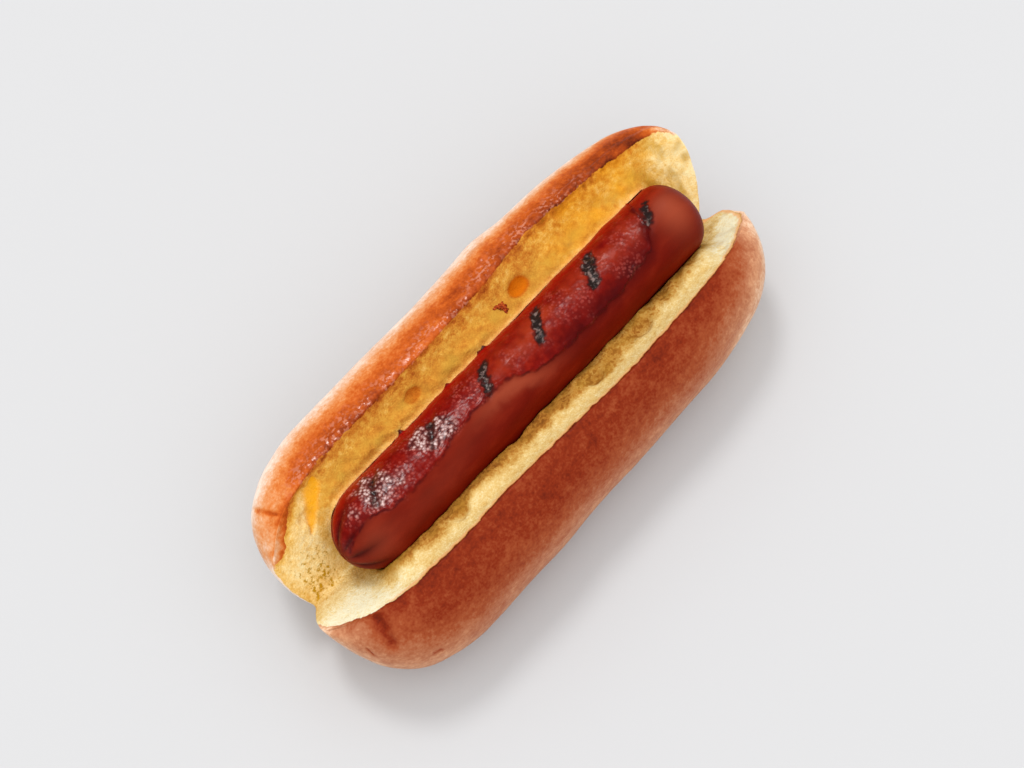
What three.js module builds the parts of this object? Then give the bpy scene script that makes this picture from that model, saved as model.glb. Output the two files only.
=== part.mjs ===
// A hot dog: a grilled sausage lying in a toasted brioche bun that is cut from above and opened like a V.
// Lengths are in millimetres. +X runs along the bun, +Y points to its wide, flat toasted half, +Z is up.
// The flat base of the bun rests on z = 0.
// A pair in square brackets holds the value at the -X end and the value at the +X end.
import * as THREE from 'three';

// ---- groove between the two halves of the bun ----
const GROOVE_REACH = [71.5, 68.8];      // distance from the middle to each end of the groove's bottom line
const GROOVE_Y = [0.2, -0.6];
const GROOVE_Z = [12.5, 10.5];

// ---- base of the bun ----
const BASE_SINK = 2.0;                  // depth of the round section below the table, cut off flat
const BASE_POWER = 2.5;                 // roundness of the section below its fullest point

// ---- the two halves of the bun ----
const WIDE_HALF = {
  side: 1,                              // lies toward +Y
  lipY: [17.8, 22.3],                   // sideways position of the lip, where crumb meets crust
  halfWidth: [31.6, 34.4],              // at the fullest point of the section
  bulgeZ: 20.0,                         // height of the fullest point
  crownZ: 39.8,                         // height that the round section aims for over the groove
  crownPower: 2.9,                      // roundness of the section above its fullest point
  reach: [74.5, 76.9],                  // distance from the middle to each end
  shoulder: [0.6, 0.7],                 // part of the cut face below the shoulder of the end outline
  corner: [3.0, 4.6],                   // how far the corner of the cut face steps back
  lipDrop: [0.34, 0.15],                // part of the cut face that the lip loses at each end
  lipDropPower: [9, 6],                 // how suddenly it loses it
  endPower: [6.0, 4.5],                 // bluntness of the end of the crust
};
const NARROW_HALF = {
  side: -1,                             // lies toward -Y
  lipY: [20.2, 18.8],
  halfWidth: [35.7, 30.6],
  bulgeZ: 15.0,
  crownZ: 38.0,
  crownPower: 2.3,
  reach: [76.1, 75.4],
  shoulder: [0.9, 0.25],
  corner: [1.2, 0.2],
  lipDrop: [0.56, 0.53],
  lipDropPower: [8, 6],
  endPower: [7.2, 5.2],
};
const CORNER_POWER = 2.5;               // how suddenly the corner of a cut face steps back
const CRUST_CARRY_POWER = 4;            // how little of the lip's drop the crust below it follows

// ---- unevenness of the bun: places where a lip swells or a surface dips ----
const LIP_SWELLS = [                    // outward shift of a lip, centred on x
  { half: WIDE_HALF, x: 30, width: 19, size: 1.9 },
  { half: NARROW_HALF, x: 20, width: 16, size: 0.7 },
  { half: NARROW_HALF, x: -22, width: 10, size: -0.4 },
];
const AIR_POCKETS = [                   // round dips in the cut faces, placed by x and height along the face
  { half: WIDE_HALF, x: 17.8, along: 24.6, radius: 3.2, depth: 1.2 },
  { half: WIDE_HALF, x: -20.9, along: 24.2, radius: 2.6, depth: 0.8 },
  { half: WIDE_HALF, x: -57.5, along: 27.0, radius: 2.2, depth: 1.0 },
  { half: WIDE_HALF, x: -60.5, along: 21.5, radius: 1.8, depth: 0.9 },
  { half: WIDE_HALF, x: 47.0, along: 26.0, radius: 2.0, depth: 0.5 },
  { half: NARROW_HALF, x: 13.6, along: 20.5, radius: 2.5, depth: 1.0 },
  { half: NARROW_HALF, x: 31.3, along: 19.5, radius: 3.0, depth: 0.8 },
  { half: NARROW_HALF, x: -34.0, along: 21.0, radius: 2.6, depth: 0.6 },
];
const CRUST_DENTS = [                   // dents in the crust, placed by x and y; a negative depth is a bump
  { half: WIDE_HALF, x: 21.0, y: 34.0, radius: 8.0, depth: -1.1 },
  { half: WIDE_HALF, x: 27.0, y: 33.0, radius: 5.0, depth: 0.4 },
  { half: WIDE_HALF, x: -64.0, y: 25.5, radius: 3.0, depth: 0.3 },
  { half: NARROW_HALF, x: -67.5, y: -19.0, radius: 3.0, depth: 0.8 },
  { half: NARROW_HALF, x: -58.0, y: -28.5, radius: 3.2, depth: 0.6 },
  { half: NARROW_HALF, x: -9.0, y: -29.0, radius: 5.5, depth: 0.5 },
  { half: NARROW_HALF, x: -15.0, y: -34.0, radius: 19.0, depth: -0.8 },
];
const CRUST_UNEVENNESS = 0.35;
const CRUMB_UNEVENNESS = 0.22;
const CRUST_FADE = 0.25;                // part of the section below a lip over which the crust becomes uneven

// ---- gentle unevenness: three trains of waves that don't fit each other ----
const WAVE_TRAINS = [                   // wavelengths along and around, in millimetres
  { along: 88, around: 56, start: 0.9, size: 1.0 },
  { along: 33, around: -48, start: 2.1, size: 0.6 },
  { along: 15, around: 22, start: 4.0, size: 0.4 },
];
const CRUST_WAVE_STRETCH = 2.0;         // the waves of the crust are this much longer
const CRUMB_WAVE_STRETCH = 0.4;
const SAUSAGE_WAVE_STRETCH = 0.6;
const HALF_WAVE_SHIFT = 40;             // keeps the two halves of the bun from looking alike

// ---- sausage ----
const SAUSAGE_ENDS_X = [-60.6, 64.8];
const SAUSAGE_AXIS_Y = [-0.35, 1.8];
const SAUSAGE_AXIS_Z = 27.4;
const SAUSAGE_RADIUS = [10.9, 10.35];
const NEAR_CAP = 12.5;                  // length of the rounded -X end
const FAR_CAP = 8.5;                    // length of the rounded +X end
const NEAR_CAP_POWER = 2.1;             // bluntness of the rounded ends
const FAR_CAP_POWER = 2.6;
const SAUSAGE_UNEVENNESS = 0.13;
const SAUSAGE_CLEARANCE = 0.45;         // gap to the bun, counted from the even radius
const CLEARANCE_BLEND = 3;              // width over which the crumb turns to follow the sausage

// ---- marks of the grill bars across the top of the sausage ----
const GRILL_MARKS_X = [-45.8, -25.8, -6.9, 12.0, 31.4, 52.1];
const GRILL_MARK_ANGLE = 0.31;          // turn of their middle from the top toward +Y, radians
const GRILL_MARK_SPREAD = 0.47;         // half of their length around the sausage, radians
const GRILL_MARK_WIDTH = 1.5;
const GRILL_MARK_SLANT = 6.8;           // x change per radian
const GRILL_MARK_DEPTH = 0.45;

// ---- blistered band of skin along the +Y side of the sausage ----
const BLISTER_EDGE = [                  // wandering lower edge of the band: x, turn from the top toward +Y
  [-61, -0.4], [-57, -0.1], [-53, -0.02], [-43, -0.3], [-31, -0.27], [-19, -0.08], [-6, -0.07],
  [6, -0.5], [19, -0.6], [32, -0.56], [45, -0.45], [49, -0.1], [51, 0.6], [54, 1.6], [65, 1.6],
];
const BLISTER_EDGE_WIDTH = 0.09;        // radians
const BLISTER_END = 1.5;                // turn at which the band fades out on the +Y side
const BLISTER_END_WIDTH = 0.3;
const BLISTER_RISE = 0.28;

// ---- gathered skin at the -X end of the sausage ----
const GATHER_CREASES = 9;
const GATHER_DEPTH = 0.75;
const GATHER_LENGTH = 6.5;
const GATHER_DIMPLE = 0.9;
const GATHER_SKEW = 0.5;                // crowds the creases toward the top, radians
const GATHER_START = 2;                 // distance from the tip over which the creases begin

// ---- fineness of the faceted surfaces ----
const BUN_STATIONS = 66;
const FACE_STEPS = 16;                  // steps from the groove to a lip, and from a lip to the base
const SECTION_SAMPLES = 240;
const SAUSAGE_STATIONS = 64;
const SAUSAGE_STEPS = 34;
const SPREAD_SAMPLES = 4000;
const BUN_END_CROWDING = 0.75;          // extra stations toward the ends, compared with those in the middle
const SAUSAGE_END_CROWDING = 0.56;
const MARK_CROWDING = 1.8;              // extra stations around each grill mark
const TOP_CROWDING = 1.4;               // extra steps around the top of the sausage
const CROWDING_LIMIT = 0.004;           // keeps the crowding at an end finite

// ---------------------------------------------------------------- small helpers

function mix(pair, part) {
  return pair[0] + (pair[1] - pair[0]) * part;
}

function hump(distance) {
  return Math.exp(-distance * distance);
}

function step(value) {
  return 1 / (1 + Math.exp(-4 * value));
}

// The larger of two numbers, with the change from one to the other rounded over `blend`.
function softMax(a, b, blend) {
  const near = Math.max(blend - Math.abs(a - b), 0) / blend;
  return Math.max(a, b) + near * near * blend / 4;
}

// Gentle hills and hollows that don't repeat within the size of the bun.
function waves(along, around, stretch) {
  let height = 0;
  for (const train of WAVE_TRAINS) {
    const phase = 2 * Math.PI / stretch * (along / train.along + around / train.around);
    height += train.size * Math.sin(phase + train.start);
  }
  return height;
}

// Smooth curve through a list of [x, value] pairs.
function through(pairs, x) {
  let i = 0;
  while (i < pairs.length - 2 && pairs[i + 1][0] < x) {
    i += 1;
  }
  const [fromX, fromValue] = pairs[i];
  const [toX, toValue] = pairs[i + 1];
  const part = THREE.MathUtils.smoothstep(x, fromX, toX);
  return fromValue + (toValue - fromValue) * part;
}

// Crowds the values that `spread` gives toward -1 and 1.
function endCrowding(place, strength) {
  return 1 + strength / Math.sqrt(1 + CROWDING_LIMIT - Math.abs(place));
}

// Values from -1 to 1 that lie closer together where `density` is larger.
function spread(count, density) {
  const total = [0];
  for (let i = 1; i <= SPREAD_SAMPLES; i += 1) {
    const middle = -1 + (2 * i - 1) / SPREAD_SAMPLES;
    total.push(total[i - 1] + density(middle));
  }
  const values = [];
  let low = 0;
  for (let k = 0; k <= count; k += 1) {
    const wanted = total[SPREAD_SAMPLES] * k / count;
    while (low < SPREAD_SAMPLES - 1 && total[low + 1] < wanted) {
      low += 1;
    }
    const part = (wanted - total[low]) / (total[low + 1] - total[low]);
    values.push(-1 + 2 * (low + THREE.MathUtils.clamp(part, 0, 1)) / SPREAD_SAMPLES);
  }
  return values;
}

// A closed solid from its corner points and its triangles.
function solid(name, points, triangles, material) {
  const geometry = new THREE.BufferGeometry();
  const numbers = points.flatMap((point) => [point.x, point.y, point.z]);
  geometry.setAttribute('position', new THREE.Float32BufferAttribute(numbers, 3));
  geometry.setIndex(triangles.flat());
  geometry.computeVertexNormals();
  const mesh = new THREE.Mesh(geometry, material);
  mesh.name = name;
  return mesh;
}

// ---------------------------------------------------------------- sausage form

function sausagePart(x) {
  return (x - SAUSAGE_ENDS_X[0]) / (SAUSAGE_ENDS_X[1] - SAUSAGE_ENDS_X[0]);
}

function sausageAxisY(x) {
  return mix(SAUSAGE_AXIS_Y, sausagePart(x));
}

function cap(distance, length, power) {
  const inward = THREE.MathUtils.clamp(distance / length, 0, 1);
  return Math.sqrt(1 - (1 - inward) ** power);
}

// Radius of the even sausage, before creases, blisters and grill marks. It is zero beyond the ends.
function sausageRadius(x) {
  const near = cap(x - SAUSAGE_ENDS_X[0], NEAR_CAP, NEAR_CAP_POWER);
  const far = cap(SAUSAGE_ENDS_X[1] - x, FAR_CAP, FAR_CAP_POWER);
  return mix(SAUSAGE_RADIUS, sausagePart(x)) * near * far;
}

// The turn is an angle around the sausage: 0 at the top, growing toward +Y.
function grillMark(x, turn) {
  let depth = 0;
  for (const markX of GRILL_MARKS_X) {
    const across = (x - markX - GRILL_MARK_SLANT * (turn - GRILL_MARK_ANGLE)) / GRILL_MARK_WIDTH;
    const along = (turn - GRILL_MARK_ANGLE) / GRILL_MARK_SPREAD;
    depth += hump(across) * hump(along ** 3);
  }
  return depth;
}

function blister(x, turn) {
  const begins = step((turn - through(BLISTER_EDGE, x)) / BLISTER_EDGE_WIDTH);
  const ends = step((BLISTER_END - turn) / BLISTER_END_WIDTH);
  return begins * ends;
}

// Creases that gather the skin at the -X end.
function gathers(fromNearEnd, turn) {
  const shape = Math.abs(Math.sin(GATHER_CREASES * turn / 2 + GATHER_SKEW * Math.sin(turn)));
  const begins = Math.min(fromNearEnd / GATHER_START, 1);
  return -GATHER_DEPTH * (1 - shape) * hump(fromNearEnd / GATHER_LENGTH) * begins;
}

function sausageRelief(x, turn) {
  const fromNearEnd = x - SAUSAGE_ENDS_X[0];
  const fromFarEnd = SAUSAGE_ENDS_X[1] - x;
  const body = THREE.MathUtils.clamp(Math.min(fromNearEnd, fromFarEnd) / NEAR_CAP, 0, 1);
  const around = SAUSAGE_RADIUS[0] * Math.sin(turn);
  const uneven = SAUSAGE_UNEVENNESS * waves(x, around, SAUSAGE_WAVE_STRETCH);
  const marks = -GRILL_MARK_DEPTH * grillMark(x, turn);
  const skin = BLISTER_RISE * (blister(x, turn) - 0.5);
  return body * (uneven + marks + skin) + gathers(fromNearEnd, turn);
}

function buildSausage(material) {
  const length = SAUSAGE_ENDS_X[1] - SAUSAGE_ENDS_X[0];
  const middle = (SAUSAGE_ENDS_X[0] + SAUSAGE_ENDS_X[1]) / 2;
  const markHalfWidth = 2 * GRILL_MARK_WIDTH;
  const stationDensity = (place) => {
    const x = middle + place * length / 2;
    let density = endCrowding(place, SAUSAGE_END_CROWDING);
    for (const markX of GRILL_MARKS_X) {
      density += MARK_CROWDING * hump((x - markX) / markHalfWidth);
    }
    return density;
  };
  const turnDensity = (place) => {
    const turn = place * Math.PI;
    return 1 + TOP_CROWDING * hump((turn - GRILL_MARK_ANGLE) / (2 * GRILL_MARK_SPREAD));
  };
  const stations = spread(SAUSAGE_STATIONS, stationDensity).map((place) => middle + place * length / 2);
  const turns = spread(SAUSAGE_STEPS, turnDensity).map((place) => place * Math.PI);

  const points = [];
  const nearTip = SAUSAGE_ENDS_X[0] + GATHER_DIMPLE;
  points.push(new THREE.Vector3(nearTip, sausageAxisY(nearTip), SAUSAGE_AXIS_Z));
  for (let i = 1; i < SAUSAGE_STATIONS; i += 1) {
    const x = stations[i];
    for (let k = 0; k < SAUSAGE_STEPS; k += 1) {
      const turn = turns[k];
      const radius = sausageRadius(x) + sausageRelief(x, turn);
      const y = sausageAxisY(x) + radius * Math.sin(turn);
      const z = SAUSAGE_AXIS_Z + radius * Math.cos(turn);
      points.push(new THREE.Vector3(x, y, z));
    }
  }
  const farTip = SAUSAGE_ENDS_X[1];
  points.push(new THREE.Vector3(farTip, sausageAxisY(farTip), SAUSAGE_AXIS_Z));

  const triangles = [];
  const at = (i, k) => 1 + (i - 1) * SAUSAGE_STEPS + (k % SAUSAGE_STEPS);
  const last = points.length - 1;
  for (let k = 0; k < SAUSAGE_STEPS; k += 1) {
    triangles.push([0, at(1, k), at(1, k + 1)]);
    triangles.push([last, at(SAUSAGE_STATIONS - 1, k + 1), at(SAUSAGE_STATIONS - 1, k)]);
    for (let i = 1; i < SAUSAGE_STATIONS - 1; i += 1) {
      triangles.push([at(i, k), at(i + 1, k), at(i + 1, k + 1)]);
      triangles.push([at(i, k), at(i + 1, k + 1), at(i, k + 1)]);
    }
  }
  return solid('sausage', points, triangles, material);
}

// ---------------------------------------------------------------- bun form
// `place` runs from -1 at the -X end of the bun to 1 at its +X end.

function placePart(place) {
  return (place + 1) / 2;
}

function endIndex(place) {
  return place < 0 ? 0 : 1;
}

function grooveBottom(place) {
  return new THREE.Vector2(mix(GROOVE_Y, placePart(place)), mix(GROOVE_Z, placePart(place)));
}

function lipSwell(half, x) {
  let shift = 0;
  for (const swell of LIP_SWELLS) {
    if (swell.half === half) {
      shift += swell.size * hump((x - swell.x) / swell.width);
    }
  }
  return shift;
}

// Round section of a half of the bun in the YZ plane, from the lip down to the middle of the base.
function crustSection(half, place) {
  const part = placePart(place);
  const halfWidth = mix(half.halfWidth, part);
  const lipY = mix(half.lipY, part) + lipSwell(half, place * half.reach[endIndex(place)]);
  const lipTurn = Math.acos((lipY / halfWidth) ** (half.crownPower / 2));
  const samples = [];
  const lengths = [0];
  for (let i = 0; i <= SECTION_SAMPLES; i += 1) {
    const turn = lipTurn - (lipTurn + Math.PI / 2) * i / SECTION_SAMPLES;
    const power = turn > 0 ? half.crownPower : BASE_POWER;
    const rise = turn > 0 ? half.crownZ - half.bulgeZ : half.bulgeZ + BASE_SINK;
    const y = half.side * halfWidth * Math.abs(Math.cos(turn)) ** (2 / power);
    const z = half.bulgeZ + Math.sign(turn) * rise * Math.abs(Math.sin(turn)) ** (2 / power);
    samples.push(new THREE.Vector2(y, z));
    if (i > 0) {
      lengths.push(lengths[i - 1] + samples[i].distanceTo(samples[i - 1]));
    }
  }
  const points = [];
  let low = 0;
  for (let k = 0; k <= FACE_STEPS; k += 1) {
    const wanted = lengths[SECTION_SAMPLES] * k / FACE_STEPS;
    while (low < SECTION_SAMPLES - 1 && lengths[low + 1] < wanted) {
      low += 1;
    }
    const between = (wanted - lengths[low]) / (lengths[low + 1] - lengths[low]);
    points.push(samples[low].clone().lerp(samples[low + 1], Math.min(between, 1)));
  }
  return points;
}

// X of a point on the end-to-end line that crosses the cut face at `height`, which is 0 in the groove and
// 1 at the lip.
function lineX(half, place, height) {
  const end = endIndex(place);
  const reach = half.reach[end];
  const shoulder = half.shoulder[end];
  if (height < shoulder) {
    const below = 1 - height / shoulder;
    return place * (reach - (reach - GROOVE_REACH[end]) * below * below);
  }
  const above = (height - shoulder) / (1 - shoulder);
  return place * (reach - half.corner[end] * above ** CORNER_POWER);
}

function crumbRelief(half, x, along, fade) {
  let rise = CRUMB_UNEVENNESS * waves(x + HALF_WAVE_SHIFT * half.side, along, CRUMB_WAVE_STRETCH) * fade;
  for (const pocket of AIR_POCKETS) {
    if (pocket.half === half) {
      const distance = Math.hypot(x - pocket.x, along - pocket.along) / pocket.radius;
      rise -= pocket.depth * hump(distance ** 2);
    }
  }
  return rise;
}

function crustRelief(half, point, fade) {
  const around = point.z - half.side * point.y;
  const along = point.x + HALF_WAVE_SHIFT * half.side;
  let rise = CRUST_UNEVENNESS * waves(along, around, CRUST_WAVE_STRETCH) * fade;
  for (const dent of CRUST_DENTS) {
    if (dent.half === half) {
      const distance = Math.hypot(point.x - dent.x, point.y - dent.y) / dent.radius;
      rise -= dent.depth * hump(distance) * fade;
    }
  }
  return rise;
}

// Pushes a point of a cut face out of the space that the sausage needs.
function clearSausage(point) {
  const inside = point.x > SAUSAGE_ENDS_X[0] && point.x < SAUSAGE_ENDS_X[1];
  if (!inside) {
    return;
  }
  const dy = point.y - sausageAxisY(point.x);
  const dz = point.z - SAUSAGE_AXIS_Z;
  const distance = Math.hypot(dy, dz);
  const needed = sausageRadius(point.x) + SAUSAGE_CLEARANCE;
  const grown = softMax(distance, needed, CLEARANCE_BLEND) / distance;
  point.y = sausageAxisY(point.x) + dy * grown;
  point.z = SAUSAGE_AXIS_Z + dz * grown;
}

// Points of one station of one half: `cut` runs from the groove to the lip and `crust` from the base to
// the lip.
function halfStation(half, place) {
  const end = endIndex(place);
  const section = crustSection(half, place);
  const groove = grooveBottom(place);
  const lip = section[0];
  const kept = 1 - half.lipDrop[end] * Math.abs(place) ** half.lipDropPower[end];
  const thickness = Math.sqrt(1 - Math.abs(place) ** half.endPower[end]);
  const face = lip.clone().sub(groove);
  const faceLength = face.length();
  const normal = new THREE.Vector2(-half.side * face.y, Math.abs(face.x)).divideScalar(faceLength);
  const cut = [];
  const crust = [];
  for (let k = 0; k <= FACE_STEPS; k += 1) {
    const height = k / FACE_STEPS;
    const whole = groove.clone().lerp(lip, height);
    const shortened = groove.clone().lerp(lip, height * kept);
    const x = lineX(half, place, height);

    const fade = Math.sin(Math.PI * height) * thickness;
    const rise = crumbRelief(half, x, height * kept * faceLength, fade);
    const cutPoint = new THREE.Vector3(x, shortened.x + rise * normal.x, shortened.y + rise * normal.y);
    clearSausage(cutPoint);
    cut.push(cutPoint);

    const outside = section[FACE_STEPS - k];
    const carried = shortened.clone().lerp(whole, height ** CRUST_CARRY_POWER);
    const y = shortened.x + thickness * (outside.x - carried.x);
    const z = shortened.y + thickness * (outside.y - carried.y);
    const crustPoint = new THREE.Vector3(x, y, z);
    const fromLip = Math.min((1 - height) / CRUST_FADE, 1);
    const bulge = crustRelief(half, crustPoint, fromLip * thickness);
    const outward = new THREE.Vector2(y, z - half.bulgeZ).normalize();
    crustPoint.y += bulge * outward.x;
    crustPoint.z = Math.max(crustPoint.z + bulge * outward.y, 0);
    crust.push(crustPoint);
  }
  return { cut, crust };
}

function buildBun(material) {
  const places = spread(BUN_STATIONS, (place) => endCrowding(place, BUN_END_CROWDING));
  const points = [];
  const rings = [];
  const add = (point) => {
    points.push(point);
    return points.length - 1;
  };
  for (const place of places) {
    const wide = halfStation(WIDE_HALF, place);
    const narrow = halfStation(NARROW_HALF, place);
    const isEnd = Math.abs(place) > 1 - 1e-9;
    const inside = [];                  // lip of the wide half, groove, lip of the narrow half
    for (let k = FACE_STEPS; k >= 0; k -= 1) {
      inside.push(add(wide.cut[k]));
    }
    for (let k = 1; k <= FACE_STEPS; k += 1) {
      inside.push(add(narrow.cut[k]));
    }
    const outside = [inside[0]];        // the same way round over the crust and the base
    for (let k = 1; k < 2 * FACE_STEPS; k += 1) {
      const crustPoint = k < FACE_STEPS ? wide.crust[FACE_STEPS - k] : narrow.crust[k - FACE_STEPS];
      outside.push(isEnd ? inside[k] : add(crustPoint));
    }
    outside.push(inside[2 * FACE_STEPS]);
    rings.push({ inside, outside });
  }
  const triangles = [];
  const addTriangle = (a, b, c) => {
    if (a !== b && b !== c && c !== a) {
      triangles.push([a, b, c]);
    }
  };
  for (let i = 0; i < BUN_STATIONS; i += 1) {
    for (let k = 0; k < 2 * FACE_STEPS; k += 1) {
      const here = rings[i];
      const next = rings[i + 1];
      addTriangle(here.inside[k], here.inside[k + 1], next.inside[k + 1]);
      addTriangle(here.inside[k], next.inside[k + 1], next.inside[k]);
      addTriangle(here.outside[k], next.outside[k + 1], here.outside[k + 1]);
      addTriangle(here.outside[k], next.outside[k], next.outside[k + 1]);
    }
  }
  return solid('bun', points, triangles, material);
}

// ---------------------------------------------------------------- whole

const bunMaterial = new THREE.MeshStandardMaterial({ color: 0xc98445, roughness: 0.75, metalness: 0 });
const sausageMaterial = new THREE.MeshStandardMaterial({ color: 0x6f1a0b, roughness: 0.35, metalness: 0 });

const group = new THREE.Group();
group.name = 'hot_dog';
group.add(buildBun(bunMaterial));
group.add(buildSausage(sausageMaterial));

export default group;
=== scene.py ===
"""Looks of a hot dog: a grilled sausage in a toasted brioche bun that is cut from above.

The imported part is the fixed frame: +X runs along the bun, +Y points to its wide half, +Z is up.
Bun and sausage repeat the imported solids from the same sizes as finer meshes, and add pressed-up crumb,
pores, blisters, creases, char and a ragged crust. Lengths are in millimetres until a mesh is made.
A pair holds the values at the -X and the +X end. Turns on the sausage are angles from its top toward +Y.
"""
import itertools
import math
from types import SimpleNamespace

import bpy
import numpy as np
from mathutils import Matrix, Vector, kdtree


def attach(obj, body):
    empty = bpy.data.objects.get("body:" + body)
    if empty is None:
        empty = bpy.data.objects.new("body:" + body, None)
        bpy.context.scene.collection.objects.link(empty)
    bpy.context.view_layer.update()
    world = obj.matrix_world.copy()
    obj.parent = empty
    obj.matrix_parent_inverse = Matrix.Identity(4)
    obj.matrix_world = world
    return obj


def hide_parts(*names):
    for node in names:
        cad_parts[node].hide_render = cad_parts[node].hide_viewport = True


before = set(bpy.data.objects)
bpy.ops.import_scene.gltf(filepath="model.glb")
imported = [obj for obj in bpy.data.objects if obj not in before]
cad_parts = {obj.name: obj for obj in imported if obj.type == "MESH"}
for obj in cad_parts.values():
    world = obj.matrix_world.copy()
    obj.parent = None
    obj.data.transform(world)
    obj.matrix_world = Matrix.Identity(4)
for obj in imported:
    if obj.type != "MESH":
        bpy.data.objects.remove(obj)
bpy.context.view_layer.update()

MM = 0.001

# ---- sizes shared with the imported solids

GROOVE_REACH = (71.5, 68.8)
GROOVE_Y = (0.2, -0.6)
GROOVE_Z = (12.5, 10.5)
BASE_SINK = 2.0
BASE_POWER = 2.5
CORNER_POWER = 2.5
CRUST_CARRY_POWER = 4

WIDE = dict(
    side=1, lip_y=(17.8, 22.3), half_width=(31.6, 34.4), bulge_z=20.0, crown_z=39.8, crown_power=2.9,
    reach=(74.5, 76.9), shoulder=(0.6, 0.7), corner=(3.0, 4.6), lip_drop=(0.34, 0.15),
    lip_drop_power=(9, 6), end_power=(6.0, 4.5),
)
NARROW = dict(
    side=-1, lip_y=(20.2, 18.8), half_width=(35.7, 30.6), bulge_z=15.0, crown_z=38.0, crown_power=2.3,
    reach=(76.1, 75.4), shoulder=(0.9, 0.25), corner=(1.2, 0.2), lip_drop=(0.56, 0.53),
    lip_drop_power=(8, 6), end_power=(7.2, 5.2),
)

# side of the half, x, width, outward shift
LIP_SWELLS = ((1, 30, 19, 1.9), (-1, 20, 16, 0.7), (-1, -22, 10, -0.4))

# side of the half, x, height along the cut face, radius, depth
AIR_POCKETS = (
    (1, 17.8, 24.6, 3.2, 1.2), (1, -20.9, 24.2, 2.6, 0.8), (1, -57.5, 27.0, 2.2, 1.0),
    (1, -60.5, 21.5, 1.8, 0.9), (1, 47.0, 26.0, 2.0, 0.5), (-1, 13.6, 20.5, 2.5, 1.0),
    (-1, 31.3, 19.5, 3.0, 0.8), (-1, -34.0, 21.0, 2.6, 0.6),
)

# side of the half, x, y, radius, depth; a negative depth is a bump
CRUST_DENTS = (
    (1, 21.0, 34.0, 8.0, -1.1), (1, 27.0, 33.0, 5.0, 0.4), (1, -64.0, 25.5, 3.0, 0.3),
    (-1, -67.5, -19.0, 3.0, 0.8), (-1, -58.0, -28.5, 3.2, 0.6), (-1, -9.0, -29.0, 5.5, 0.5),
    (-1, -15.0, -34.0, 19.0, -0.8),
)
CRUST_UNEVENNESS = 0.35
CRUMB_UNEVENNESS = 0.22
CRUST_FADE = 0.25

# wavelength along, wavelength around, start, size
WAVE_TRAINS = ((88, 56, 0.9, 1.0), (33, -48, 2.1, 0.6), (15, 22, 4.0, 0.4))
CRUST_WAVE_STRETCH = 2.0
CRUMB_WAVE_STRETCH = 0.4
SAUSAGE_WAVE_STRETCH = 0.6
HALF_WAVE_SHIFT = 40

SAUSAGE_ENDS_X = NEAR_TIP, FAR_TIP = (-60.6, 64.8)
SAUSAGE_AXIS_Y = (-0.35, 1.8)
SAUSAGE_AXIS_Z = 27.4
SAUSAGE_RADIUS = (10.9, 10.35)
NEAR_CAP = 12.5
FAR_CAP = 8.5
NEAR_CAP_POWER = 2.1
FAR_CAP_POWER = 2.6
SAUSAGE_UNEVENNESS = 0.13
SAUSAGE_CLEARANCE = 0.45
CLEARANCE_BLEND = 3

# crumb that the sausage has pressed up beside it, by side: its height, and the rise of what touches the skin
PILE_HEIGHTS = {1: 5.5, -1: 7.2}
TOUCH_RISES = {1: 3.0, -1: 0.9}
PILE_WIDTH = 8.0
PILE_CLEARANCE = 0.05
PILE_UNEVENNESS = 0.06
PILE_WAVE_STRETCH = 0.35
PILE_END_FADE = 8

# swelling low on the sausage
BULGE_X = -11.0
BULGE_TURN = -1.7
BULGE_LENGTH = 2.8
BULGE_SPREAD = 0.25
BULGE_HEIGHT = 0.9

GRILL_MARKS_X = (-45.8, -25.8, -6.9, 12.0, 31.4, 52.1)
GRILL_MARK_ANGLE = 0.31
GRILL_MARK_SPREAD = 0.47
GRILL_MARK_WIDTH = 1.5
GRILL_MARK_SLANT = 6.8
GRILL_MARK_DEPTH = 0.45

# x and turn of the wandering lower edge of the blistered band
BLISTER_EDGE = (
    (-61, -0.4), (-57, -0.1), (-53, -0.02), (-43, -0.3), (-31, -0.27), (-19, -0.08), (-6, -0.07),
    (6, -0.5), (19, -0.6), (32, -0.56), (45, -0.45), (49, -0.1), (51, 0.6), (54, 1.6), (65, 1.6),
)
BLISTER_END = 1.5

GATHER_CREASES = 9
GATHER_DEPTH = 0.75
GATHER_LENGTH = 6.5
GATHER_DIMPLE = 0.9
GATHER_SKEW = 0.5
GATHER_START = 2

# ---- fineness of the meshes

BUN_STATIONS = 400
FACE_STEPS = 60
LIP_CROWDING = 1.35  # steps crowd toward the lip above 1
SECTION_SAMPLES = 600
LINE_SAMPLES = 8  # samples of each step of a line that distances are taken to
SPREAD_SAMPLES = 4000
SAUSAGE_STATIONS = 420
SAUSAGE_STEPS = 220
END_CROWDING = 0.35  # stations crowd toward the ends above 0
END_LIMIT = 1.004  # the place, just past an end, where they would lie infinitely close
TOP_CROWDING = 1.6  # steps crowd toward the sausage's top above 0
TOP_WIDTH = 0.5


# ---- small helpers

def mix(pair, part):
    return pair[0] + (pair[1] - pair[0]) * part


def hump(distance):
    return np.exp(-np.square(distance))


def peak(value, middle, width):
    """A hump of height 1 where the value is `middle`."""
    return hump((value - middle) / width)


def fall(distance, length):
    """Falls from 1 at no distance toward 0."""
    return np.exp(-distance / length)


def smooth(value, start, end):
    """Rises smoothly from 0 at `start` to 1 at `end`."""
    part = np.clip((value - start) / (end - start), 0, 1)
    return part * part * (3 - 2 * part)


def soft_max(a, b, blend):
    near = np.maximum(blend - np.abs(a - b), 0) / blend
    return np.maximum(a, b) + near ** 2 * blend / 4


def through(pairs, x):
    """Smooth curve through (x, value) pairs."""
    known_x, known = np.array(pairs, dtype=float).T
    i = np.clip(np.searchsorted(known_x, x) - 1, 0, len(pairs) - 2)
    return known[i] + (known[i + 1] - known[i]) * smooth(x, known_x[i], known_x[i + 1])


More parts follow.
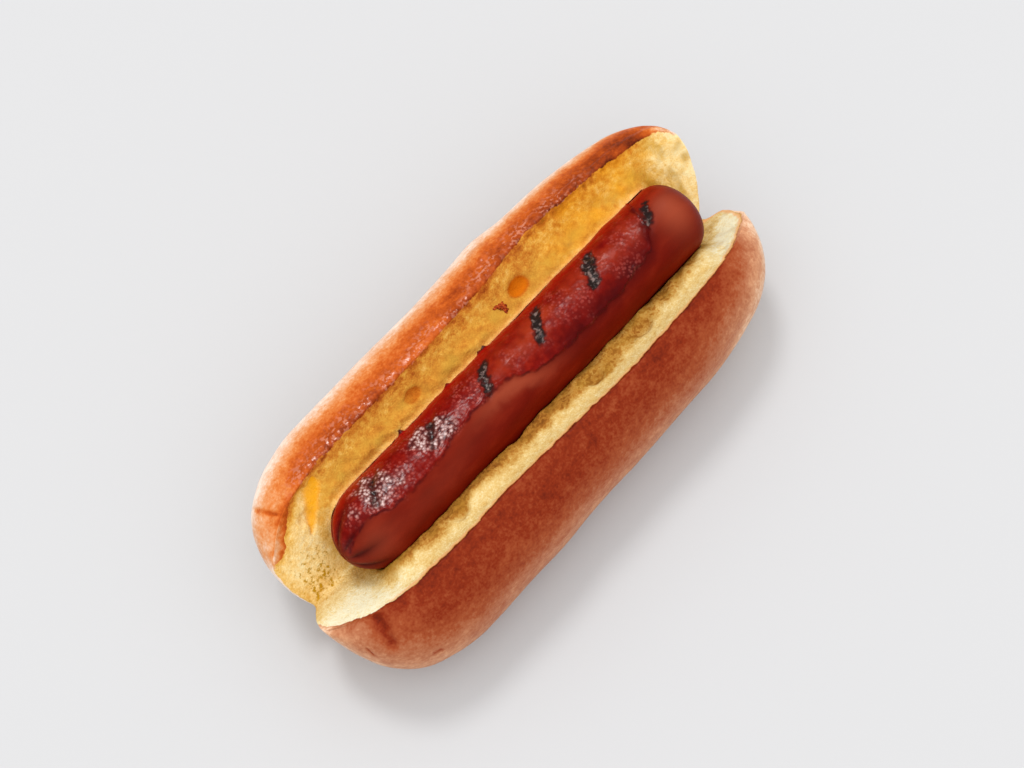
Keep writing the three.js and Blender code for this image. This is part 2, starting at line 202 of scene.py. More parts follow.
def waves(along, around, stretch):
    height = 0
    for length_along, length_around, start, size in WAVE_TRAINS:
        phase = 2 * np.pi / stretch * (along / length_along + around / length_around)
        height = height + size * np.sin(phase + start)
    return height


def spread(count, density):
    """Values from -1 to 1 that lie closer together where `density` is larger."""
    middle = -1 + (2 * np.arange(SPREAD_SAMPLES) + 1) / SPREAD_SAMPLES
    total = np.concatenate([[0], np.cumsum(density(middle))])
    return np.interp(np.linspace(0, total[-1], count + 1), total, np.linspace(-1, 1, SPREAD_SAMPLES + 1))


def crowd_ends(place):
    return 1 + END_CROWDING / np.sqrt(END_LIMIT - np.abs(place))


def crowd_top(place):
    return 1 + TOP_CROWDING * hump(place / TOP_WIDTH)


# ---- noise, always the same for the same seed

SCRAMBLE_PRIMES = (73856093, 19349663, 83492791, 6542989)
SCRAMBLE_FACTOR = 1274126177


def scramble(x, y, z, seed):
    """A number from 0 to 1 for each point of a lattice."""
    parts = [value * prime for value, prime in zip((x, y, z, seed), SCRAMBLE_PRIMES)]
    mixed = parts[0] ^ parts[1] ^ parts[2] ^ parts[3]
    mixed = (mixed ^ (mixed >> 13)) * SCRAMBLE_FACTOR
    mixed = mixed ^ (mixed >> 16)
    return (mixed & 0xFFFFFF) / 0x1000000


def noise(points, size, seed):
    """Smooth noise from -1 to 1 with lumps about `size` across."""
    scaled = points / size
    base = np.floor(scaled).astype(np.int64)
    part = scaled - base
    fade = part * part * part * (part * (part * 6 - 15) + 10)
    total = np.zeros(len(points))
    for corner in itertools.product((0, 1), repeat=3):
        weight = np.prod(np.where(corner, fade, 1 - fade), axis=1)
        x, y, z = (base + corner).T
        total += weight * (2 * scramble(x, y, z, seed) - 1)
    return total


def layers(points, kinds):
    """Sum of noises, each given by its height, size and seed."""
    return sum(height * noise(points, size, seed) for height, size, seed in kinds)


def patchy(points, level, kinds):
    """Uneven numbers from 0 to 1 around a level."""
    return np.clip(level + layers(points, kinds), 0, 1)


def cells(points, size, seed):
    """Distances to the nearest two of scattered seeds, in sizes, and the nearest one's number."""
    scaled = points / size
    base = np.floor(scaled).astype(np.int64)
    nearest, second = np.full((2, len(points)), np.inf)
    number = np.zeros(len(points))
    for offset in itertools.product((-1, 0, 1), repeat=3):
        corner = base + offset
        x, y, z = corner.T
        spot = corner + np.stack([scramble(x, y, z, seed + k) for k in (1, 2, 3)], axis=-1)
        distance = np.linalg.norm(scaled - spot, axis=1)
        closer = distance < nearest
        second = np.where(closer, nearest, np.minimum(second, distance))
        number = np.where(closer, scramble(x, y, z, seed), number)
        nearest = np.minimum(nearest, distance)
    return nearest, second, number


def domes(points, size, seed, share, width=0.45):
    """Round domes from 0 to 1, one in the chosen share of the cells."""
    nearest, _, number = cells(points, size, seed)
    return np.clip(1 - (nearest / width) ** 2, 0, 1) * (number < share)


def dome_layers(points, kinds):
    """Sum of domes, each kind given by its height, size, seed and share."""
    return sum(height * domes(points, size, seed, share) for height, size, seed, share in kinds)


# ---- meshes

def vertex_normals(points, quads):
    corners = points[quads]
    normal = np.cross(corners[:, 2] - corners[:, 0], corners[:, 3] - corners[:, 1])
    total = np.zeros_like(points)
    for k in range(4):
        np.add.at(total, quads[:, k], normal)
    return total / np.maximum(np.linalg.norm(total, axis=1), 1e-9)[:, None]


def make_piece(name, points, faces, values, material):
    """A smooth mesh in metres that rides on the part's one body, with its numbers for the shader."""
    mesh = bpy.data.meshes.new(name)
    mesh.from_pydata((points * MM).tolist(), [], faces)
    mesh.polygons.foreach_set("use_smooth", [True] * len(mesh.polygons))
    for label, numbers in values.items():
        layer = mesh.attributes.new(label, "FLOAT", "POINT")
        layer.data.foreach_set("value", np.ascontiguousarray(numbers, dtype=np.float32))
    mesh.materials.append(material)
    piece = bpy.data.objects.new(name, mesh)
    bpy.context.collection.objects.link(piece)
    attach(piece, "root")
    return piece


# ---- form of the sausage

def sausage_part(x):
    return (x - NEAR_TIP) / (FAR_TIP - NEAR_TIP)


def sausage_axis_y(x):
    return mix(SAUSAGE_AXIS_Y, sausage_part(x))


def cap(distance, length, power):
    inward = np.clip(distance / length, 0, 1)
    return np.sqrt(1 - (1 - inward) ** power)


def sausage_radius(x):
    near = cap(x - NEAR_TIP, NEAR_CAP, NEAR_CAP_POWER)
    far = cap(FAR_TIP - x, FAR_CAP, FAR_CAP_POWER)
    return mix(SAUSAGE_RADIUS, sausage_part(x)) * near * far


# ---- form of the bun

def lip_swell(half, x):
    return sum(size * peak(x, at, width) for side, at, width, size in LIP_SWELLS if side == half["side"])


def crust_section(half, place, heights):
    """Round section of a half at one station: points whose way from the lip is one minus the height."""
    part = (place + 1) / 2
    half_width = mix(half["half_width"], part)
    lip_y = mix(half["lip_y"], part) + lip_swell(half, place * half["reach"][int(place >= 0)])
    lip_turn = math.acos((lip_y / half_width) ** (half["crown_power"] / 2))
    turn = lip_turn - (lip_turn + math.pi / 2) * np.linspace(0, 1, SECTION_SAMPLES + 1)
    power = np.where(turn > 0, half["crown_power"], BASE_POWER)
    rise = np.where(turn > 0, half["crown_z"] - half["bulge_z"], half["bulge_z"] + BASE_SINK)
    y = half["side"] * half_width * np.abs(np.cos(turn)) ** (2 / power)
    z = half["bulge_z"] + np.sign(turn) * rise * np.abs(np.sin(turn)) ** (2 / power)
    length = np.concatenate([[0], np.cumsum(np.hypot(np.diff(y), np.diff(z)))])
    wanted = length[-1] * (1 - heights)
    return np.stack([np.interp(wanted, length, y), np.interp(wanted, length, z)], axis=-1)


def off_axis(points):
    """x of each point, and its way and distance from the sausage's axis."""
    x = points[..., 0]
    dy, dz = points[..., 1] - sausage_axis_y(x), points[..., 2] - SAUSAGE_AXIS_Z
    return x, dy, dz, np.hypot(dy, dz)


def clear_sausage(cut, clearance, blend):
    """Pushes the cut face out of the space that the sausage needs."""
    x, dy, dz, distance = off_axis(cut)
    inside = (x > NEAR_TIP) & (x < FAR_TIP)
    needed = sausage_radius(np.clip(x, *SAUSAGE_ENDS_X)) + clearance
    grown = np.where(inside, soft_max(distance, needed, blend), distance) / distance
    return np.stack([x, sausage_axis_y(x) + dy * grown, SAUSAGE_AXIS_Z + dz * grown], axis=-1)


def skin_bulge(x):
    return BULGE_HEIGHT * peak(x, BULGE_X, BULGE_LENGTH)


def pile_against_sausage(cut, side):
    """Lifts the crumb in the wedge beside the sausage, where the sausage has pressed it up."""
    x, _, _, distance = off_axis(cut)
    from_end = np.minimum(x - NEAR_TIP, FAR_TIP - x)
    inside = smooth(from_end, 0, PILE_END_FADE)
    radius = sausage_radius(np.clip(x, *SAUSAGE_ENDS_X))
    gap = distance - radius - SAUSAGE_CLEARANCE
    uneven = 1 + PILE_UNEVENNESS * waves(x, 0, PILE_WAVE_STRETCH)
    lift = PILE_HEIGHTS[side] * uneven * np.clip(1 - gap / PILE_WIDTH, 0, 1) ** 2 * inside
    clearance = PILE_CLEARANCE + (skin_bulge(x) if side < 0 else 0)
    cut = clear_sausage(cut + np.stack([0 * x, 0 * x, lift], axis=-1), clearance, PILE_CLEARANCE)
    _, dy, dz, distance = off_axis(cut)
    turn = side * TOUCH_RISES[side] * fall(np.maximum(distance - radius, 0), 1) * inside / distance
    y = sausage_axis_y(x) + dy * np.cos(turn) - dz * np.sin(turn)
    z = SAUSAGE_AXIS_Z + dy * np.sin(turn) + dz * np.cos(turn)
    return np.stack([x, y, z], axis=-1)


def half_surfaces(half, places, heights):
    """Grids over stations and heights of one half's cut face and crust, and the way along the face."""
    side = half["side"]
    section = np.array([crust_section(half, place, heights) for place in places])
    part = ((places + 1) / 2)[:, None]
    end = (places >= 0).astype(int)[:, None]
    size = np.abs(places)[:, None]
    height = heights[None, :]

    def at_end(name):
        return np.take(half[name], end)

    groove = np.stack([mix(GROOVE_Y, part), mix(GROOVE_Z, part)], axis=-1)
    face = section[:, -1:] - groove
    face_length = np.hypot(face[..., 0], face[..., 1])
    kept = 1 - at_end("lip_drop") * size ** at_end("lip_drop_power")
    thickness = np.sqrt(1 - size ** at_end("end_power"))
    whole = groove + face * height[..., None]
    shortened = groove + face * (height * kept)[..., None]
    reach, shoulder = at_end("reach"), at_end("shoulder")
    below = np.maximum(1 - height / shoulder, 0)
    above = np.maximum(height - shoulder, 0) / (1 - shoulder)
    step_back = (reach - np.take(GROOVE_REACH, end)) * below ** 2 + at_end("corner") * above ** CORNER_POWER
    x = places[:, None] * (reach - step_back)
    along = height * kept * face_length

    fade = np.sin(np.pi * height) * thickness
    rise = CRUMB_UNEVENNESS * waves(x + HALF_WAVE_SHIFT * side, along, CRUMB_WAVE_STRETCH) * fade
    for pocket_side, at_x, at_along, radius, depth in AIR_POCKETS:
        if pocket_side == side:
            rise = rise - depth * hump((np.hypot(x - at_x, along - at_along) / radius) ** 2)
    y = shortened[..., 0] - side * rise * face[..., 1] / face_length
    z = shortened[..., 1] + rise * np.abs(face[..., 0]) / face_length
    cut = clear_sausage(np.stack([x, y, z], axis=-1), SAUSAGE_CLEARANCE, CLEARANCE_BLEND)
    cut = pile_against_sausage(cut, side)

    carried = shortened + (whole - shortened) * (height ** CRUST_CARRY_POWER)[..., None]
    y = shortened[..., 0] + thickness * (section[..., 0] - carried[..., 0])
    z = shortened[..., 1] + thickness * (section[..., 1] - carried[..., 1])
    fade = np.minimum((1 - height) / CRUST_FADE, 1) * thickness
    bulge = CRUST_UNEVENNESS * waves(x + HALF_WAVE_SHIFT * side, z - side * y, CRUST_WAVE_STRETCH) * fade
    for dent_side, at_x, at_y, radius, depth in CRUST_DENTS:
        if dent_side == side:
            bulge = bulge - depth * hump(np.hypot(x - at_x, y - at_y) / radius) * fade
    out = np.hypot(y, z - half["bulge_z"])
    z_out = np.maximum(z + bulge * (z - half["bulge_z"]) / out, 0)
    crust = np.stack([x, y + bulge * y / out, z_out], axis=-1)
    return cut, crust, along


def bun_grid():
    """Points and quads of the closed bun, each point's surface, side and way along, and the edges."""
    places = spread(BUN_STATIONS, crowd_ends)
    heights = 1 - (1 - np.linspace(0, 1, FACE_STEPS + 1)) ** LIP_CROWDING
    wide_cut, wide_crust, wide_along = half_surfaces(WIDE, places, heights)
    narrow_cut, narrow_crust, narrow_along = half_surfaces(NARROW, places, heights)

    inside = np.concatenate([wide_cut[:, ::-1], narrow_cut[:, 1:]], axis=1)
    outside = np.concatenate([wide_crust[:, -2:0:-1], narrow_crust[:, :-1]], axis=1)
    width_in, width_out = inside.shape[1], outside.shape[1]
    along = np.concatenate([wide_along[:, ::-1], narrow_along[:, 1:]], axis=1)
    side_in = np.repeat([1.0, -1.0], [FACE_STEPS + 1, FACE_STEPS])
    side_out = np.repeat([1.0, -1.0], [FACE_STEPS - 1, FACE_STEPS])

    stations = len(places)
    inner = np.arange(stations * width_in).reshape(stations, width_in)
    outer = inner.size + np.arange((stations - 2) * width_out).reshape(stations - 2, width_out)
    outer = np.concatenate([inner[:1, 1:-1], outer, inner[-1:, 1:-1]])
    outer = np.concatenate([inner[:, :1], outer, inner[:, -1:]], axis=1)
    points = np.concatenate([inside.reshape(-1, 3), outside[1:-1].reshape(-1, 3)])
    quads = np.concatenate([grid_quads(inner), grid_quads(outer)[:, ::-1]])

    def join(in_grid, out_grid):
        in_all = np.broadcast_to(in_grid, (stations, width_in))
        out_all = np.broadcast_to(out_grid, (stations, width_out))
        return np.concatenate([in_all.ravel(), out_all[1:-1].ravel()])

    crumb = join(True, False)
    side = join(side_in, side_out)
    along = join(along, 0.0)
    edges = dict(wide_lip=inner[:, 0], narrow_lip=inner[:, -1], near_end=inner[0], far_end=inner[-1])
    return points, quads, crumb, side, along, edges


def grid_quads(index):
    corners = [index[:-1, :-1], index[:-1, 1:], index[1:, 1:], index[1:, :-1]]
    return np.stack(corners, axis=-1).reshape(-1, 4)


def distance_to(points, line):
    """Distance of each point to the nearest point of a line of points."""
    fine = np.linspace(0, len(line) - 1, LINE_SAMPLES * len(line))
    line = np.stack([np.interp(fine, np.arange(len(line)), line[:, k]) for k in range(3)], axis=-1)
    tree = kdtree.KDTree(len(line))
    for k, point in enumerate(line):
        tree.insert(point, k)
    tree.balance()
    return np.array([tree.find(point)[2] for point in points])


def soften(points, quads, weight, rounds):
    """Moves each point toward the middle of its neighbours, by its weight."""
    for _ in range(rounds):
        total = np.zeros_like(points)
        count = np.zeros(len(points))
        for k in range(4):
            for other in (1, 3):
                np.add.at(total, quads[:, k], points[quads[:, (k + other) % 4]])
                np.add.at(count, quads[:, k], 1)
        points = points + (total / count[:, None] - points) * weight[:, None]
    return points


# ---- sizes and tones of the bun's fine parts

# what the floors of the first AIR_POCKETS add to the toast and the syrup brown around them
POCKET_TOAST = (0.20, 0.14)
POCKET_SYRUP = (0.90, 0.32)

# groove like a boat in the wide half's crumb: x and height along the face of its two ends
BOAT_FROM = (-53.0, 28.8)
BOAT_TO = (-61.2, 17.0)
BOAT_HALF_WIDTH = 2.0
BOAT_DEPTH = 0.6

# creases in the crust: two ends, half width, depth
CREASES = (
    ((-66.4, -17.4, 30.6), (-68.0, -23.4, 27.2), 1.5, 0.9),
    ((-72.4, -19.6, 24.8), (-72.2, -21.4, 23.0), 0.35, 0.25),
    ((-61.8, -31.3, 21.6), (-60.0, -31.8, 21.6), 0.45, 0.25),
    ((-67.4, 22.8, 31.0), (-65.2, 17.0, 34.6), 0.6, 0.45),
)
CREASE_WANDER = 0.25

# swellings of the crust: middle, radius, height
CRUST_SWELLINGS = (
    ((16.6, 27.6, 34.8), 3.4, 0.75), ((-3.0, 24.5, 36.0), 3.0, 0.25), ((-36.0, 22.5, 35.0), 4.0, 0.25),
)

# line on the wide half's cut face, in x and height along the face, past which its -X end is crust
END_CRUST_AT = (-66.2, 22.8)
END_CRUST_OUT = (-0.76, 0.65)
END_CRUST_LOWEST = 17.8  # it stops at this height along the face

# the biggest of the olive smudges at the -X end of the groove, and how strong it and the others are
BLOTCH_AT = (-69.0, 0.6, 13.0)
BLOTCH_RADIUS = 3.8
BLOTCH_STRENGTH = 0.32
SMUDGE_STRENGTH = 0.48

# toast of each half's crumb, and what its line at the crust, its strip or band beside the sausage, the
# nearness of the skin and the ends add
WIDE_TOAST = 0.45
WIDE_TOAST_LINE = 0.22
WIDE_TOAST_STRIP = 0.17
# paler crumb right at the skin: painted light against the shade beside the sausage
WIDE_LIGHT_AT_SKIN = -0.16
WIDE_TOAST_ENDS = (-0.35, -0.34)
NARROW_TOAST = 0.23
NARROW_TOAST_LINE = 0.5
NARROW_TOAST_BAND = 0.26
NARROW_TOAST_ENDS = -0.22
GROOVE_TOAST_END = 0.14  # at the bottom of the groove's -X end
BAND_FROM_LIP = 7.7  # distance from the lip at which the narrow half's brown band starts
GOLDEN = 0.38

# bake of each half's crust, and what its line at the crumb, its low parts, its ends and their edges add
WIDE_BAKE = 0.63
WIDE_BAKE_LINE = 0.20
WIDE_BAKE_NEAR_LINE = 0.25
# paler toward the outer edge: partly less bake, partly painted light and sheen
WIDE_UNDERBAKE_AND_LIGHT = -0.54
WIDE_BAKE_ENDS = (-0.24, 0.12)
WIDE_BAKE_EDGES = -0.45
NARROW_BAKE = 0.79
NARROW_BAKE_LINE = 0.22
# paler low down: partly less bake, partly painted light where the crust turns from the main light
NARROW_UNDERBAKE_AND_LIGHT = -0.46
NARROW_BAKE_ENDS = (-0.22, -0.42)
NARROW_BAKE_LEAST = 0.10
BAKE_EDGES = -0.25
CREASE_SHADE = 0.35

# layers of noise: height, size, seed
CRUMB_PATCHES = ((0.03, 6.0, 11), (0.06, 2.4, 12), (0.09, 1.1, 13))
GOLDEN_PATCHES = ((0.4, 5.0, 17), (0.3, 1.6, 19))
CRUST_PATCHES = ((0.05, 9.0, 21), (0.04, 3.0, 22))
CRUMB_LUMPS = ((0.06, 2.0, 35), (0.03, 0.9, 36))
CRUST_LUMPS = ((0.10, 7.0, 37), (0.04, 2.5, 38))

# pores of the crumb: depth, size, seed, share
PORES = ((0.22, 2.4, 31, 0.12), (0.18, 1.4, 32, 0.25), (0.12, 0.9, 33, 0.45))

OIL_BUMP_HEIGHT = 0.24
LIP_FOLD_HEIGHT = 0.16
LIP_ROLL_HEIGHT = 0.22
REST_FACE_TOP = 0.4  # below this height the crust stays flat


# ---- fine relief and shader numbers of the bun

def crumb_toast(points, near):
    """How toasted the cut faces are: 0 is soft cream crumb, 1 is dark brown."""
    x = points[:, 0]
    near_end = smooth(-x, 46, 66)
    line = hump(near.line / (2.2 + 0.6 * smooth(x, 20, 45))) * (1 - 0.1 * near_end)
    line = line * (1 - 0.9 * smooth(x, 66, 73))
    wide = (
        WIDE_TOAST - 0.05 * smooth(x, 35, 55) + (WIDE_TOAST_LINE + 0.08 * smooth(x, 20, 55)) * line
        + 0.04 * peak(near.lip, 4, 4) + WIDE_TOAST_STRIP * peak(near.sausage, 3.5, 3)
        + WIDE_TOAST_ENDS[0] * near_end * smooth(near.lip, 0.5, 4.0)
        # paler right at the skin: painted light against the shade beside the sausage
        + WIDE_TOAST_ENDS[1] * smooth(x, 58, 75) + WIDE_LIGHT_AT_SKIN * fall(near.sausage, 1.6)
    )
    ends = np.maximum(near_end, smooth(x, 50, 66))
    narrow = (
        NARROW_TOAST + (NARROW_TOAST_BAND + 0.14 * smooth(-x, -15, 5)) * near.band
        + NARROW_TOAST_ENDS * ends * (1 - near.band)
        + NARROW_TOAST_LINE * fall(near.line, 0.35) * (1 - near_end)
    )
    toast = np.where(near.on_wide, wide, narrow)
    in_groove = 0.5 * (wide + narrow) + GROOVE_TOAST_END * near_end
    toast = toast + (in_groove - toast) * smooth(near.along, 14, 2) + near.pocket_toast
    calm = 1 - 0.6 * near.syrup - 0.4 * near_end
    toward_far = smooth(x, 20, 40) * smooth(-x, -64, -54)
    calm = calm * np.where(near.on_wide, 1 + 0.6 * hump(near.lip / 5) + 0.5 * toward_far, 0.5)
    return np.clip(toast + layers(points, CRUMB_PATCHES) * calm, 0, 1)


def toasted_band(points, near):
    """The speckled brown band along the narrow half's crumb, beside the sausage."""
    x = points[:, 0]
    ends = np.maximum(smooth(-x, 46, 64), 0.7 * smooth(x, 50, 66))
    starts = BAND_FROM_LIP - 0.7 * peak(x, 15, 6) + 0.5 * smooth(x, 16, 26) + noise(points, 3.0, 14)
    band = smooth(near.lip, starts - 1.6, starts + 1.4)
    return band * (1 - ends * (1 - fall(near.sausage, 0.9))) * ~near.on_wide


def crumb_olive(points, near):
    """Where the toasted crumb turns olive: beside the sausage, at the +X end, and under the sausage's -X
    tip, where it is partly painted light in the tip's cast shadow.
    """
    x = points[:, 0]
    wide = 0.6 * peak(near.sausage, 4.0, 2.8) * smooth(x, -62, -50)
    wide = wide + 0.5 * smooth(x, 60, 72) * smooth(noise(points, 3.0, 20), -0.2, 0.5)
    narrow = 0.4 * near.band + 0.25 * smooth(x, 52, 62) * smooth(noise(points, 3.0, 18), -0.4, 0.4)
    # under the -X tip: partly the crumb's own olive, partly painted light warming the tip's cast shadow
    narrow = narrow + 0.45 * fall(near.sausage, 2.5) * smooth(-x, 46, 58)
    uneven = 1 + 0.6 * noise(points, 2.5, 16)
    return np.clip(np.where(near.on_wide, wide, narrow) * uneven - near.syrup, 0, 1)


def groove_smudge(points, near):
    zone = peak(points[:, 0], -66, 7.0) * peak(near.along, 6.0, 11.0) * np.where(near.on_wide, 1.0, 0.35)
    blotch = hump(np.linalg.norm(points - BLOTCH_AT, axis=1) / BLOTCH_RADIUS)
    return np.clip(SMUDGE_STRENGTH * zone + BLOTCH_STRENGTH * blotch, 0, 1)


def golden_crumb(points, near):
    """How golden the crumb of the wide half is, toward the +X end."""
    x = points[:, 0]
    stops = smooth(4 * noise(points, 4.0, 27) - x, -72, -54)
    return GOLDEN * smooth(x, 22, 40) * stops * patchy(points, 0.6, GOLDEN_PATCHES) * near.on_wide


def crust_bake(points, near):
    """How dark the crust is baked: 0 is pale dough, 1 is dark brown."""
    x, z = points[:, 0], points[:, 2]
    near_end = smooth(-x, 52, 76)
    low = smooth(-z, -33, -15)
    pale_at = 14.5 - 2.0 * smooth(x, 5, 25)
    wide = (
        WIDE_BAKE + WIDE_BAKE_LINE * fall(near.line, 1.5)
        + WIDE_BAKE_NEAR_LINE * fall(near.line, 1.2) * near_end * smooth(z, 20, 28)
        # paler away from the lip: partly less bake, partly painted light and sheen
        + WIDE_UNDERBAKE_AND_LIGHT * smooth(near.lip, 3.5, pale_at) + WIDE_BAKE_ENDS[0] * smooth(-x, 48, 66)
        + WIDE_BAKE_ENDS[1] * smooth(x, 10, 50) * smooth(near.lip, 12, 3)
        + WIDE_BAKE_EDGES * fall(near.far_end, 2.5)
        + WIDE_BAKE_EDGES * fall(near.end, 2.0) * smooth(-z, -30, -24) * near_end
        + 0.10 * noise(points, 5.0, 26) * hump(near.lip / 6)
    )
    narrow = (
        # paler low down: partly less bake, partly painted light
        NARROW_BAKE + NARROW_BAKE_LINE * fall(near.line, 0.6) + NARROW_UNDERBAKE_AND_LIGHT * low
        + NARROW_BAKE_ENDS[0] * near_end
        + NARROW_BAKE_ENDS[1] * smooth(x, 32, 64) * smooth(-z, -36, -26)
    )
    wrinkles = 0.09 * noise(points * (0.12, 1, 1), 2.2, 25) * low
    narrow = np.maximum(narrow, NARROW_BAKE_LEAST) - wrinkles
    streaks = 0.06 * noise(points * (0.4, 1, 1), 2.2, 23) * hump(near.lip / 6)
    bake = np.where(near.on_wide, wide, narrow) + layers(points, CRUST_PATCHES) + streaks
    # the creases are darkened: painted shade
    return np.clip(bake + BAKE_EDGES * fall(near.end, 3.0) + CREASE_SHADE * near.crease, 0, 1)


def segment_part(points, start, end):
    """Distance of each point to the straight line between two points, and how far along it that is."""
    start, way = np.array(start), np.array(end) - np.array(start)
    part = np.clip((points - start) @ way / (way @ way), 0, 1)
    return np.linalg.norm(points - start - part[:, None] * way, axis=1), part


def boat_groove(points, along, on_wide):
    away, part = segment_part(np.stack([points[:, 0], along], axis=-1), BOAT_FROM, BOAT_TO)
    half_width = BOAT_HALF_WIDTH * (0.2 + 0.8 * np.sin(np.pi * part ** 0.6))
    half_width = half_width * (1 + 0.3 * noise(points, 2.2, 67))
    return smooth(-away / half_width, -1.5, -0.5) * on_wide


def crust_creases(points):
    """Painted shade in the creases, from 0 to 1, and their depth."""
    dark, depth = np.zeros((2, len(points)))
    wander = CREASE_WANDER * noise(points, 1.2, 24)
    for start, end, half_width, deep in CREASES:
        crease = hump((segment_part(points, start, end)[0] + wander) / half_width)
        dark = np.maximum(dark, crease)
        depth = np.maximum(depth, deep * crease)
    return dark, depth


def pocket_floors(x, along, side):
    """Toast and syrup brown of the smooth round floors of the air pockets."""
    toast, syrup = np.zeros((2, len(x)))
    for pocket, more, brown in zip(AIR_POCKETS, POCKET_TOAST, POCKET_SYRUP):
        pocket_side, at_x, at_along, radius, _ = pocket
        away = np.hypot(x - at_x, along - at_along)
        floor = smooth(-away, -1.15 * radius, -0.80 * radius) * (side == pocket_side)
        toast = toast + more * floor
        syrup = syrup + brown * floor
    return toast, syrup


def crumb_edge(points, near):
    """Distance to the ragged line where the crumb ends: above 0 on the crumb, below 0 on the crust."""
    ragged = 0.35 * noise(points, 4.5, 61) + np.where(near.on_wide, 0.3, 0.5) * noise(points, 1.6, 62)
    ragged = ragged * smooth(points[:, 2], 8, 22) - np.where(near.on_wide, 0.5, 0.9) * hump(near.lip / 4)
    edge = np.where(near.crumb, near.rim, -near.rim) + ragged
    past_x = END_CRUST_OUT[0] * (near.x - END_CRUST_AT[0])
    past = past_x + END_CRUST_OUT[1] * (near.along - END_CRUST_AT[1])
    past = np.minimum(past, near.along - END_CRUST_LOWEST)
    covered = np.minimum(edge, -past + 0.5 * noise(points, 1.6, 63))
    return np.where(near.crumb & near.on_wide, covered, edge)


def bun_surroundings(points, crumb, side, along, edges):
    """What each point of the plain form belongs to, and how near it lies to lips, ends and sausage."""
    x = points[:, 0]
    on_wide = side > 0
    away = {name: distance_to(points, points[index]) for name, index in edges.items()}
    beside_x = np.clip(x, *SAUSAGE_ENDS_X)
    off_skin = off_axis(np.column_stack([beside_x, points[:, 1:]]))[3] - sausage_radius(beside_x)
    pocket_toast, pocket_syrup = pocket_floors(x, along, side)
    crease, crease_depth = crust_creases(points)
    near = SimpleNamespace(
        x=x, along=along, crumb=crumb, on_wide=on_wide, crease=crease, crease_depth=crease_depth,
        pocket_toast=pocket_toast * crumb, pocket_syrup=pocket_syrup * crumb,
        boat=boat_groove(points, along, on_wide) * crumb,
        sausage=np.hypot(np.maximum(off_skin, 0), x - beside_x), **away,
    )
    near.lip = np.where(on_wide, near.wide_lip, near.narrow_lip)
    near.end = np.minimum(near.near_end, near.far_end)
    near.rim = np.minimum(near.lip, near.end)
    near.syrup = np.maximum(near.pocket_syrup, near.boat)
    near.edge = crumb_edge(points, near)
    near.line = np.abs(near.edge)
    near.band = toasted_band(points, near)
    return near


def round_off(points, quads, near):
    """Softens the rims, the wide lip's +X corner and the open ends of the groove."""
    corner = hump(near.wide_lip / 5) * hump(near.far_end / 5)
    valley = near.crumb * hump(near.along / 3.0) * smooth(np.abs(near.x), 46, 56)
    points = soften(points, quads, 0.6 * np.maximum(hump(near.rim / 1.1), corner), 5)
    return soften(points, quads, 0.7 * np.maximum(corner, valley), 30)


def oily_lip(points, near):
    oil = near.on_wide * peak(near.lip, 1.8, 2.4) * smooth(noise(points, 4.0, 40), -0.5, 0.3)
    return oil * smooth(near.x, -64, -52) * smooth(near.x, 54, 40)


def crumb_relief(points, near, pores):
    lumps = np.where(near.on_wide, 0.12, 0.06) * noise(points, 5.0, 34) + layers(points, CRUMB_LUMPS)
    return lumps - pores * smooth(near.rim, 0.2, 1.5) - BOAT_DEPTH * near.boat


def crust_relief(points, near, oil):
    bumps = OIL_BUMP_HEIGHT * domes(points, 1.1, 39, 0.5, 0.6) * oil
    folds = LIP_FOLD_HEIGHT * noise(points * (0.45, 1, 1), 1.6, 64) * peak(near.lip, 1.5, 2.5)
    valley = hump((near.lip - 3.2 - 0.5 * noise(points, 6.0, 65)) / 0.7)
    roll = LIP_ROLL_HEIGHT * (peak(near.lip, 1.5, 0.9) - 0.8 * valley)
    roll = roll * (1 + 0.6 * noise(points, 5.0, 66))
    swellings = 0
    for middle, radius, height in CRUST_SWELLINGS:
        swellings = swellings + height * hump((np.linalg.norm(points - middle, axis=1) / radius) ** 2)
    lip = bumps + near.on_wide * (folds + roll)
    return layers(points, CRUST_LUMPS) + lip + swellings - near.crease_depth


def peach_rim_and_highlight(near):
    """Where the crumb turns peach: a painted highlight line beside the sausage, and crust colour bled in
    inside the narrow half's lip.
    """
    # painted highlight: a bright peach line where the wide half's crumb meets the skin
    wide = 0.8 * fall(near.sausage, 0.5) * smooth(near.x, -58, -50)
    narrow = 0.7 * smooth(near.edge, 0.1, 0.5) * smooth(-near.edge, -1.6, -0.7)
    narrow = narrow * smooth(near.x, -66, -58)
    return np.where(near.on_wide, wide, narrow) * near.crumb


def build_bun(material):
    points, quads, crumb, side, along, edges = bun_grid()
    near = bun_surroundings(points, crumb, side, along, edges)
    points = round_off(points, quads, near)
    pores = dome_layers(points, PORES)
    oil = oily_lip(points, near)
    rise = np.where(crumb, crumb_relief(points, near, pores), crust_relief(points, near, oil))
    rise = np.where(points[:, 2] < REST_FACE_TOP, 0, rise)
    points = points + vertex_normals(points, quads) * rise[:, None]
    points[:, 2] = np.maximum(points[:, 2], 0)
    values = dict(
        rim=near.edge, oil=oil, toast=crumb_toast(points, near), bake=crust_bake(points, near),
        pore=pores * crumb, syrup=near.pocket_syrup, olive=crumb_olive(points, near),
        honey=np.maximum(0.8 * near.boat, golden_crumb(points, near)) * crumb,
        speckled=near.band * crumb, peach=peach_rim_and_highlight(near), smudge=groove_smudge(points, near),
        wide=smooth(points[:, 1] + 0.8 * noise(points, 2.5, 68), -1.8, 1.8),
    )
    piece = make_piece("bun_baked", points, quads.tolist(), values, material)
    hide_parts("bun")
    return points, vertex_normals(points, quads)


# ---- the flake of crust

FLAKE_AT = (9.4, 14.9, 30.2)  # where it lies on the wide half's crumb
FLAKE_BEND = 1.35  # radius of its bend, seen from above
FLAKE_STRETCH = 1.2
FLAKE_HALF_WIDTH = 0.9
FLAKE_HALF_HEIGHT = 0.30
FLAKE_LIFT = 0.7  # how high its middle lies, in half heights
FLAKE_TURNS = (-1.25, 2.5)  # angles at which its bend starts and ends
FLAKE_STEPS = 40
FLAKE_RING = 16


